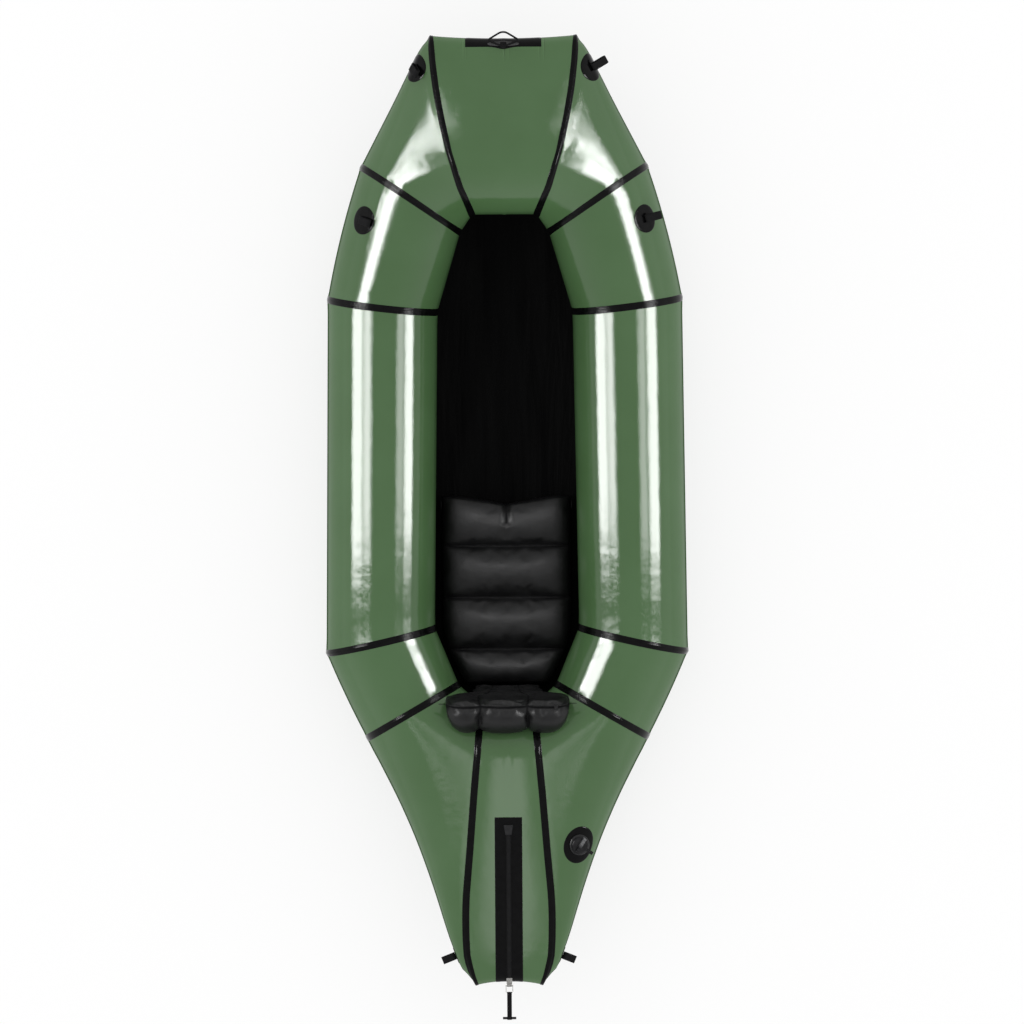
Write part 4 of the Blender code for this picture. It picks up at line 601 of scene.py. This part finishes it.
# Fabric patches. Reinforcements of the same black coated fabric as the tapes are welded flat on the panels, with
# thin rounded edges: four round ones on the bow, two near the stern tip, and the flange of the main valve.
LENGTH_AT = CENTRE_SHIFT - HULL_LENGTH / 2
VALVE_PLACE = (0.389 * HULL_BEAM / 2, LENGTH_AT + 0.1477 * HULL_LENGTH)
ANCHOR_RADIUS, STERN_ANCHOR_RADIUS, FLANGE_RADIUS = 0.0375, 0.022, 0.050
FLANGE_SQUEEZE = 0.80
STERN_ANCHOR_SHARE, STERN_ANCHOR_DROP = 0.0316, 0.008
PATCH_LIFT, PATCH_EDGE_LIFT, WELDED_LIFT = 0.0012, 0.0010, 0.00005
TILT_SHARE, RAY_ABOVE = 0.7, 0.02


def on_deck(x, y):
    """The point of the skin seen from straight above, and the skin's direction there."""
    place, normal, _, _ = skin.ray_cast(Vector((x, y, 1)), Vector((0, 0, -1)))
    return place, normal


def frame_on(place, normal, toward):
    """A frame that stands on a surface, with its first axis turned towards a direction."""
    up = Vector(normal).normalized()
    ahead = (Vector(toward) - Vector(toward).dot(up) * up).normalized()
    matrix = Matrix((ahead, up.cross(ahead), up)).transposed().to_4x4()
    matrix.translation = place
    return matrix


def disc(title, where, radius, node_name, squeeze=1.0):
    """A round patch laid on the skin from a frame above it."""
    # It takes the tilt of the skin a little inside its rim.
    turns = np.linspace(0, 2 * math.pi, 12, endpoint=False)
    rim = [where @ (radius * TILT_SHARE * Vector((math.cos(turn), math.sin(turn), 0))) for turn in turns]
    rim = [skin.find_nearest(point)[0] for point in rim]
    normal = sum((a.cross(b) for a, b in zip(rim, rim[1:] + rim[:1])), Vector()).normalized()
    if normal.dot(where.col[2].to_3d()) < 0:
        normal.negate()
    flat = frame_on(where.translation, normal, where.col[0].to_3d())
    down = -flat.col[2].to_3d()

    def place(u, v):
        reach = radius * min(1, v * 1.03 if v < 0.95 else v)
        turn = u * 2 * math.pi
        start = flat @ Vector((reach * math.cos(turn), reach * math.sin(turn) * squeeze, RAY_ABOVE))
        spot, up, _, _ = skin.ray_cast(start, down)
        return spot + up * (WELDED_LIFT if v == 1 else PATCH_LIFT if v < 0.93 else PATCH_EDGE_LIFT)

    bm = draped(72, 14, place, closed=True)
    if sum((face.normal for face in bm.faces), Vector()).dot(down) > 0:
        bmesh.ops.reverse_faces(bm, faces=bm.faces)
    thickened(piece(title, bm, seam_tape, "boat", (node_name,)), TAPE_WALL)


for title, across_share, along_share in (("bow_anchor_fore", 0.486, 0.9662), ("bow_anchor_aft", 0.777, 0.807)):
    for side, sign in SIDES:
        spot, up = on_deck(sign * across_share * HULL_BEAM / 2, LENGTH_AT + along_share * HULL_LENGTH)
        disc(f"{title}_disc_{side}", frame_on(spot, up, (sign, 0.3, 0)), ANCHOR_RADIUS, f"{title}_patch_{side}")
for side, sign in SIDES:
    stern_y = LENGTH_AT + STERN_ANCHOR_SHARE * HULL_LENGTH
    tips = port[5][::-1, 0]
    stern_z = np.interp(stern_y, tips[:, 1], tips[:, 2]) - STERN_ANCHOR_DROP
    spot, up, _, _ = skin.ray_cast(Vector((sign, stern_y, stern_z)), Vector((-sign, 0, 0)))
    disc(f"stern_anchor_disc_{side}", frame_on(spot, up, (0, 0, -1)), STERN_ANCHOR_RADIUS,
         f"stern_anchor_patch_{side}")
spot, up = on_deck(*VALVE_PLACE)
disc("valve_flange_disc", frame_on(spot, up, (0.42, 0.91, 0)), FLANGE_RADIUS, "valve_flange", FLANGE_SQUEEZE)

# Bow grab patch. A wide black patch is folded over the leading edge and carries the thin grab loop, whose ends
# are held by a tapered grey webbing tab that is sewn on the patch. Its edges are given in degrees round the nose.
GRAB_HALF, TAB_HALF, KNOT_HALF = 0.100, 0.041, 0.0075
SHEET_LIFT, KNOT_UNDER, KNOT_LIFT = 0.0011, 0.0026, 0.0016
WEBBING_DEPTH = 0.0010
NOSE_RAY = 0.15
GRAB_TOP, GRAB_FOOT = 84, -80
TONGUE, TONGUE_HALF = 14, 0.022
TAB_LOW, TAB_HIGH, TAB_BELOW, TAB_ABOVE = 65, 67, 17, 14
KNOT_FOOT, KNOT_SPAN, KNOT_ARCH = 56, 38, 6
BOW_NOSE = Vector((
    0, BOW_MIDDLE + CENTRE_SHIFT - BOW_NOSE_RADIUS, BOW_Z + MIDDLE_RISE + BOW_NOSE_RISE,
))


def round_nose(x, turn, centre, lift, ahead):
    """A point on the skin round a tapered end, from straight up (90) over the edge to below it."""
    way = Vector((0, ahead * math.cos(math.radians(turn)), math.sin(math.radians(turn))))
    spot, up, _, _ = skin.ray_cast(Vector((x, centre.y, centre.z)) + way * NOSE_RAY, -way)
    return spot + up * lift


def strip(title, across, along, place, finish, replaced=(), outward=(0, 0, 1), depth=TAPE_WALL):
    """A patch with four edges, of the boat's own body, with its faces turned outward."""
    bm = draped(across, along, place)
    if sum((face.normal * face.calc_area() for face in bm.faces), Vector()).dot(Vector(outward)) < 0:
        bmesh.ops.reverse_faces(bm, faces=bm.faces)
    made = piece(title, bm, finish, "boat", replaced)
    thickened(made, depth)
    return made


def rimmed(u, v, lift, rim=0.03):
    """The lift of a flat patch, falling to the skin at its rim."""
    return lift * min(1, max(0.05, min(u, 1 - u, v, 1 - v) / rim))


def grab_patch_at(u, v):
    x = (2 * u - 1) * GRAB_HALF
    top = GRAB_TOP + TONGUE * math.exp(-(x / TONGUE_HALF) ** 2)
    return round_nose(x, top + (GRAB_FOOT - top) * v, BOW_NOSE, rimmed(u, v, SHEET_LIFT), 1)


strip("bow_grab_sheet", 48, 24, grab_patch_at, seam_tape, ("bow_grab_patch",), (0, 1, 0))

webbing, shader, coords = finish_nodes("webbing")
mottled(webbing, shader, coords, 400.0, (0.0070, 0.0070, 0.0075), (0.0025, 0.0025, 0.0030), 0.65, 0.85)
shader.inputs["Specular IOR Level"].default_value = 0.08
bumped(webbing, shader, weave(webbing, coords, 0.0014), 0.0003, 0.8)
grey_webbing, shader, coords = finish_nodes("grey_webbing")
mottled(grey_webbing, shader, coords, 400.0, (0.026, 0.026, 0.026), (0.012, 0.012, 0.013), 0.7, 0.9)
bumped(grey_webbing, shader, weave(grey_webbing, coords, 0.0014), 0.0003, 0.8)


def tab_at(u, v):
    x = (2 * u - 1) * TAB_HALF
    share = 1 - abs(2 * u - 1)
    low, high = TAB_LOW - TAB_BELOW * share ** 0.5, TAB_HIGH + TAB_ABOVE * share ** 0.5
    return round_nose(x, low + (high - low) * v, BOW_NOSE, PATCH_LIFT + rimmed(u, v, SHEET_LIFT, 0.08), 1)


def knot_at(u, v):
    x = (2 * u - 1) * KNOT_HALF
    turn = KNOT_FOOT + KNOT_SPAN * v - KNOT_ARCH * v * (2 * u - 1) ** 2
    return round_nose(x, turn, BOW_NOSE, KNOT_UNDER + rimmed(u, v, KNOT_LIFT, 0.35), 1)


tab = strip("bow_grab_tab", 32, 10, tab_at, grey_webbing, (), (0, 0.3, 1), WEBBING_DEPTH)
strip("bow_grab_knot", 10, 14, knot_at, webbing, (), (0, 0.3, 1), WEBBING_DEPTH)

# Cargo zip. A long rubber-coated tape patch lies along the middle of the stern deck and folds over its edge. The
# closed chain runs down its middle into a moulded dock, and two low stitched beads hold its edges.
ZIP_HALF = 0.036
ZIP_LONG = 0.432
ZIP_DECK_SHARE, ZIP_FOLD = 0.9, 125
BEAD_AT, BEAD_HALF, BEAD_HIGH = 0.0125, 0.0012, 0.0004
STERN_NOSE = Vector((
    0, STERN_MIDDLE + CENTRE_SHIFT + STERN_NOSE_RADIUS, STERN_Z + MIDDLE_RISE + STERN_NOSE_RISE,
))
ZIP_FORE = STERN_NOSE.y - STERN_NOSE_RADIUS + ZIP_LONG


def zip_patch_at(u, v):
    x = (2 * u - 1) * ZIP_HALF
    bead = BEAD_HIGH * math.exp(-((abs(x) - BEAD_AT) / BEAD_HALF) ** 2)
    from_front = min(v * 6, 0.01 + 0.99 * v, 0.5)
    lift = rimmed(u, from_front, SHEET_LIFT) + bead
    if v > ZIP_DECK_SHARE:
        turn = 90 - (v - ZIP_DECK_SHARE) / (1 - ZIP_DECK_SHARE) * ZIP_FOLD
        return round_nose(x, turn, STERN_NOSE, lift, -1)
    spot, up = on_deck(x, ZIP_FORE + (STERN_NOSE.y - ZIP_FORE) * v / ZIP_DECK_SHARE)
    return spot + up * lift


strip("zip_tape", 30, 80, zip_patch_at, seam_tape, ("zip_patch",))

# Seat cushion. An inflatable pad of black coated fabric with four chambers across, welded to each other along
# three lines. Its sides are drawn in at the welds, and the pressure puckers the fabric beside them.
AIR_FRAMES = 20
seat_fabric, shader, coords = finish_nodes("seat_fabric")
mottled(seat_fabric, shader, coords, 30.0, (0.0070, 0.0070, 0.0075), (0.0045, 0.0045, 0.0048), 0.36, 0.48)
weld_mark = node(seat_fabric, "Attribute", {}, attribute_name="held")
dulled = node(seat_fabric, "MapRange", {"Value": weld_mark.outputs["Fac"], "To Min": 0.22, "To Max": 0.02})
seat_fabric.node_tree.links.new(dulled.outputs["Result"], shader.inputs["Specular IOR Level"])
puckers = node(seat_fabric, "TexNoise", {"Vector": coords, "Scale": 38.0, "Detail": 3.0})
wrinkled = bumped(seat_fabric, shader, puckers.outputs["Fac"], 0.0008)
bumped(seat_fabric, shader, weave(seat_fabric, coords, 0.0007), 0.00003, 0.6, wrinkled)


def rounding(at, power):
    """The height of a round top over a half-width of 1. A higher power makes it flatter."""
    return math.sqrt(max(0.0, 1 - abs(at) ** power))


def chamber(at, welds, low):
    """The fullness of a row of welded chambers, at a place from 0 to 1 along the row."""
    number = min(int(np.searchsorted(welds, at, "right")), len(welds) - 1)
    part = (at - welds[number - 1]) / (welds[number] - welds[number - 1])
    return low + (1 - low) * rounding(2 * part - 1, 2)


def pillow(across_steps, along_steps, place):
    """A closed pad of two faces. A function of two shares lays each point, and says whether a weld holds it."""
    bm = bmesh.new()
    held = bm.verts.layers.float.new("held")
    bmesh.ops.create_grid(bm, x_segments=across_steps, y_segments=along_steps, size=1)
    lower = list(bm.verts)
    raised = bmesh.ops.extrude_face_region(bm, geom=list(bm.faces))
    upper = [item for item in raised["geom"] if isinstance(item, bmesh.types.BMVert)]
    for group, face in ((lower, 0), (upper, 1)):
        for point in group:
            point.co, point[held] = place(point.co.x, (point.co.y + 1) / 2, face)
    bmesh.ops.recalc_face_normals(bm, faces=bm.faces)
    return bm


def blown_up(pad, pressure, slack, reach):
    """A short cloth simulation that fills the pad with air, and lets no point go further than the reach."""
    rest = [point.co.copy() for point in pad.data.vertices]
    group = pad.vertex_groups.new(name="held")
    for point, value in zip(pad.data.vertices, pad.data.attributes["held"].data):
        group.add([point.index], value.value, "REPLACE")
    air = pad.modifiers.new("air", "CLOTH")
    air.settings.vertex_group_mass = "held"
    air.settings.quality = 6
    air.settings.use_pressure = True
    air.settings.uniform_pressure_force = pressure
    air.settings.shrink_min = -slack
    air.settings.effector_weights.gravity = 0
    for frame_number in range(1, AIR_FRAMES + 1):
        bpy.context.scene.frame_set(frame_number)
    blown = pad.evaluated_get(bpy.context.evaluated_depsgraph_get())
    ends = [point.co.copy() for point in blown.data.vertices]
    pad.modifiers.remove(air)
    bpy.context.scene.frame_set(1)
    for point, start, end in zip(pad.data.vertices, rest, ends):
        way = end - start
        point.co = start + way * min(1, reach / max(way.length, 1e-9))
    smooth = pad.modifiers.new("smooth", "SUBSURF")
    smooth.levels = smooth.render_levels = 1


SEAT_BACK, SEAT_LONG, SEAT_WIDE = -0.42014, 0.507, 0.1715
SEAT_LOW, SEAT_EDGE, SEAT_TOP = 0.0018, 0.0354, 0.0900
SEAT_WELDS = (0, 0.188, 0.458, 0.729, 1)
SEAT_ROOM, FRONT_DIP, CORNER_DIP, WELD_SUNK = 0.0015, 0.026, 0.006, 0.004
SEAT_NARROW, TAPER_SHARE, FRONT_SHARE = 0.64, 0.34, 0.20
PINCH, PINCH_SHARE, PINCH_HALF = 0.30, 0.16, 0.05
SEAM = 0.003


def cushion_at(across, along, face):
    """A point of the cushion, from side to side and from the back to the front, on its flat or its full face."""
    taper = math.sin(min(1.0, along / TAPER_SHARE) * math.pi / 2)
    width = SEAT_WIDE * (SEAT_NARROW + (1 - SEAT_NARROW) * taper)
    front = max(0.0, 1 - (1 - along) / FRONT_SHARE)
    corner = max(0.0, 1 - (1 - abs(across)) / FRONT_SHARE)
    dip = FRONT_DIP * front * (1 - abs(across)) ** 1.4 + CORNER_DIP * front * corner
    y = SEAT_BACK + SEAT_ROOM + (SEAT_LONG - 2 * SEAT_ROOM) * along - dip
    rim = abs(across) > 0.999 or along < 0.001 or along > 0.999
    if not face:
        flat = rounding(across, 8) * rounding(2 * along - 1, 16)
        return (across * width, y, SEAT_EDGE - SEAM / 2 - (SEAT_EDGE - SEAM / 2 - SEAT_LOW) * flat), 1.0
    full = chamber(along, SEAT_WELDS, 0.55) * rounding(across, 9) if not rim else 0
    pinch = max(0.0, 1 - (1 - along) / PINCH_SHARE) * math.exp(-(across / PINCH_HALF) ** 2)
    weld = min(abs(along - weld) for weld in SEAT_WELDS) < 0.003
    sunk = WELD_SUNK if weld and not rim else 0.0
    height = SEAT_EDGE + SEAM / 2 + (SEAT_TOP - SEAT_EDGE) * full * (1 - PINCH * pinch) - sunk
    pinched = abs(across) < 0.01 and along > 0.86
    return (across * width, y, height), 1.0 if rim or (weld and abs(across) < 0.93) or pinched else 0.0


cushion = piece("seat_cushion_pad", pillow(64, 96, cushion_at), seat_fabric, "boat", ("seat_cushion",))
blown_up(cushion, 4.0, 0.008, 0.008)
flagged["cushion"].objects.link(cushion)

# Backrest. The same fabric, in three upright lobes that are welded to each other from the back. It stands on the
# cushion's rear edge, leans on the stern, and its full round top is folded back over the edge of the stern deck.
HINGE = Vector((0, -0.42164, 0.113))
RISE = Vector((0, -0.050, 0.252))
BACKWARD = Vector((0, -RISE.z, RISE.y)).normalized()
BACK_WELDS = (0, 0.27, 0.667, 1)
BACKREST_ROOM = 0.006
BACK_FOOT, BACK_SPREAD, SPINE_BEHIND = 0.170, 0.156, 0.009
LOBE_THIN, LOBE_MORE, LOBE_FULL, FRONT_PART = 0.018, 0.044, 0.082, 0.18
SCALLOP_RISE, SCALLOP_DROP, ARC_RISE, ARC_DROP = 0.007, 0.002, 0.013, 0.016
NECK = ((0, 0), (0.2, 0), (0.42, 0.5), (0.65, 1), (1, 1))
TOP_NARROW, TOP_SHARE = 0.12, 0.10
FULL_FROM, ROUND_FROM, ARC_FROM, BLEND = 0.68, 0.76, 0.72, 0.12


def back_room(point, way):
    """How far the pad may swell here before it comes near the hull."""
    spot, _, _, distance = skin.ray_cast(point, way)
    return distance - BACKREST_ROOM if spot else 1


def backrest_at(across, height, face):
    """A point of the backrest, from side to side and from its hinge to its top, on its front or its back."""
    share, along = (across + 1) / 2, math.sin(height * math.pi / 2)
    neck = np.interp(along, *zip(*NECK))
    spine = HINGE + RISE * along + BACKWARD * SPINE_BEHIND
    neck *= 1 - TOP_NARROW * max(0.0, 1 - (1 - along) / TOP_SHARE) ** 2
    half = min((BACK_FOOT + BACK_SPREAD * neck) / 2, back_room(spine, Vector((1, 0, 0))))
    rim = abs(across) > 0.999 or height < 0.001 or height > 0.999
    middle = HINGE + RISE * along + Vector((across * half, 0, 0))
    if rim:
        scallop = SCALLOP_RISE * chamber(share, BACK_WELDS, 0) - SCALLOP_DROP if height > 0.999 else 0
        return middle + (BACKWARD if face else -BACKWARD) * SEAM / 2 + BACKWARD * scallop, 1.0
    lobe = chamber(share, BACK_WELDS, 0.80)
    part = 1 - FRONT_PART if face else FRONT_PART
    thick = (LOBE_THIN + LOBE_MORE * min(1, along / 0.75) - SEAM) * part * rounding(2 * along - 1, 4)
    if face:
        top = min(1, max(0, (along - FULL_FROM) / BLEND))
        full = LOBE_FULL * rounding(max(0, (along - ROUND_FROM) / (1 - ROUND_FROM)), 2.2) * rounding(across, 7)
        thick += (full - thick) * top * top * (3 - 2 * top)
    depth = SEAM / 2 + thick * lobe
    if face:
        arc = chamber(share, BACK_WELDS, 0)
        behind = math.sin(math.pi * min(1, thick / LOBE_FULL)) * min(1, max(0, (along - ARC_FROM) / BLEND))
        middle.z += (ARC_RISE * arc - ARC_DROP * (1 - arc)) * behind
    way = BACKWARD if face else -BACKWARD
    weld = min(abs(share - weld) for weld in BACK_WELDS) < 0.008
    return middle + way * max(SEAM / 2, min(depth, back_room(middle, way))), 1.0 if weld else 0.0


backrest = piece("seat_backrest_pad", pillow(60, 44, backrest_at), seat_fabric, "backrest", ("seat_backrest",))
blown_up(backrest, 3.0, 0.04, 0.005)
flagged["backrest"].objects.link(backrest)

# Hardware and straps. These keep the shapes that they were built in: webbing loops, ties and hinge, the moulded
# valve, dock, toggle and mouth valve, the rubber zip chain, and the plated slider and bail.
black_plastic, shader, coords = finish_nodes("black_plastic")
mottled(black_plastic, shader, coords, 120.0, (0.013, 0.013, 0.014), (0.008, 0.008, 0.009), 0.32, 0.45)
shader.inputs["Specular IOR Level"].default_value = 0.22
pits = node(black_plastic, "TexNoise", {"Vector": coords, "Scale": 900.0, "Detail": 2.0})
bumped(black_plastic, shader, pits.outputs["Fac"], 0.00008, 0.5)
# The cap is the same plastic, with a painted highlight: the top of its grip bar, where light falls on it, is
# painted light grey.
cap_plastic = black_plastic.copy()
cap_plastic.name = "cap_plastic_look"
shader = cap_plastic.node_tree.nodes["Principled BSDF"]
GRIP_TURN = math.radians(55)
HIGHLIGHT_FROM, HIGHLIGHT_TO = -0.008, 0.004
BAR_HALF, BAR_EDGE = 0.0040, 0.0006
spot, up = on_deck(*VALVE_PLACE)
bar_frame = frame_on(spot, up, (math.cos(GRIP_TURN), math.sin(GRIP_TURN), 0))
bar_place = cap_plastic.node_tree.nodes["Texture Coordinate"].outputs["Object"]
on_bar = node(cap_plastic, "Mapping", {
    "Vector": bar_place, "Location": bar_frame.translation, "Rotation": bar_frame.to_euler(),
}, vector_type="TEXTURE")
parts = node(cap_plastic, "SeparateXYZ", {"Vector": on_bar.outputs["Vector"]})
beside = node(cap_plastic, "Math", {0: parts.outputs["Y"]}, operation="ABSOLUTE")
along_bar = node(cap_plastic, "MapRange", {
    "Value": parts.outputs["X"], "From Min": HIGHLIGHT_FROM, "From Max": HIGHLIGHT_TO,
})
across_bar = node(cap_plastic, "MapRange", {
    "Value": beside.outputs[0], "From Min": BAR_HALF, "From Max": BAR_HALF + BAR_EDGE,
    "To Min": 1.0, "To Max": 0.0,
})
# Painted highlight: the mask of the lit top of the grip bar, where the cap's colour is mixed to light grey.
bar_highlight = node(cap_plastic, "Math", {0: along_bar.outputs["Result"], 1: across_bar.outputs["Result"]},
            operation="MULTIPLY")
dark = shader.inputs["Base Color"].links[0].from_socket
highlighted = node(cap_plastic, "MixRGB", {"Fac": bar_highlight.outputs[0], "Color1": dark, "Color2": (0.15, 0.15, 0.155, 1)})
cap_plastic.node_tree.links.new(highlighted.outputs["Color"], shader.inputs["Base Color"])
shader.inputs["Specular IOR Level"].default_value = 0.12
CHAIN_PITCH = 0.0016
rubber, shader, coords = finish_nodes("rubber")
mottled(rubber, shader, coords, 90.0, (0.0050, 0.0050, 0.0055), (0.0030, 0.0030, 0.0035), 0.42, 0.58)
shader.inputs["Specular IOR Level"].default_value = 0.10
teeth = node(rubber, "TexWave", {"Vector": coords, "Scale": WAVE_M / CHAIN_PITCH}, bands_direction="Y")
bumped(rubber, shader, teeth.outputs["Fac"], 0.0004, 0.8)
nickel, shader, coords = finish_nodes("nickel", metallic=1.0)
mottled(nickel, shader, coords, 300.0, (0.40, 0.395, 0.38), (0.28, 0.275, 0.265), 0.20, 0.36)

KEPT = (
    (webbing, "bow_anchor_fore_loop_port", "bow_anchor_fore_loop_starboard", "bow_anchor_aft_loop_port",
     "bow_anchor_aft_loop_starboard", "stern_anchor_loop_port", "stern_anchor_loop_starboard", "bow_grab_loop",
     "seat_hinge_web", "seat_tie_port", "seat_tie_starboard", "backrest_tie_port", "backrest_tie_starboard",
     "zip_pull_strap"),
    (cap_plastic, "valve_cap"),
    (black_plastic, "valve_body", "valve_core", "zip_dock", "zip_pull_toggle", "backrest_valve"),
    (rubber, "valve_tether", "zip_chain"),
    (nickel, "zip_slider", "zip_bail"),
)
for paint, *names in KEPT:
    for name in names:
        for slot in bpy.data.objects[name].material_slots:
            slot.material = paint
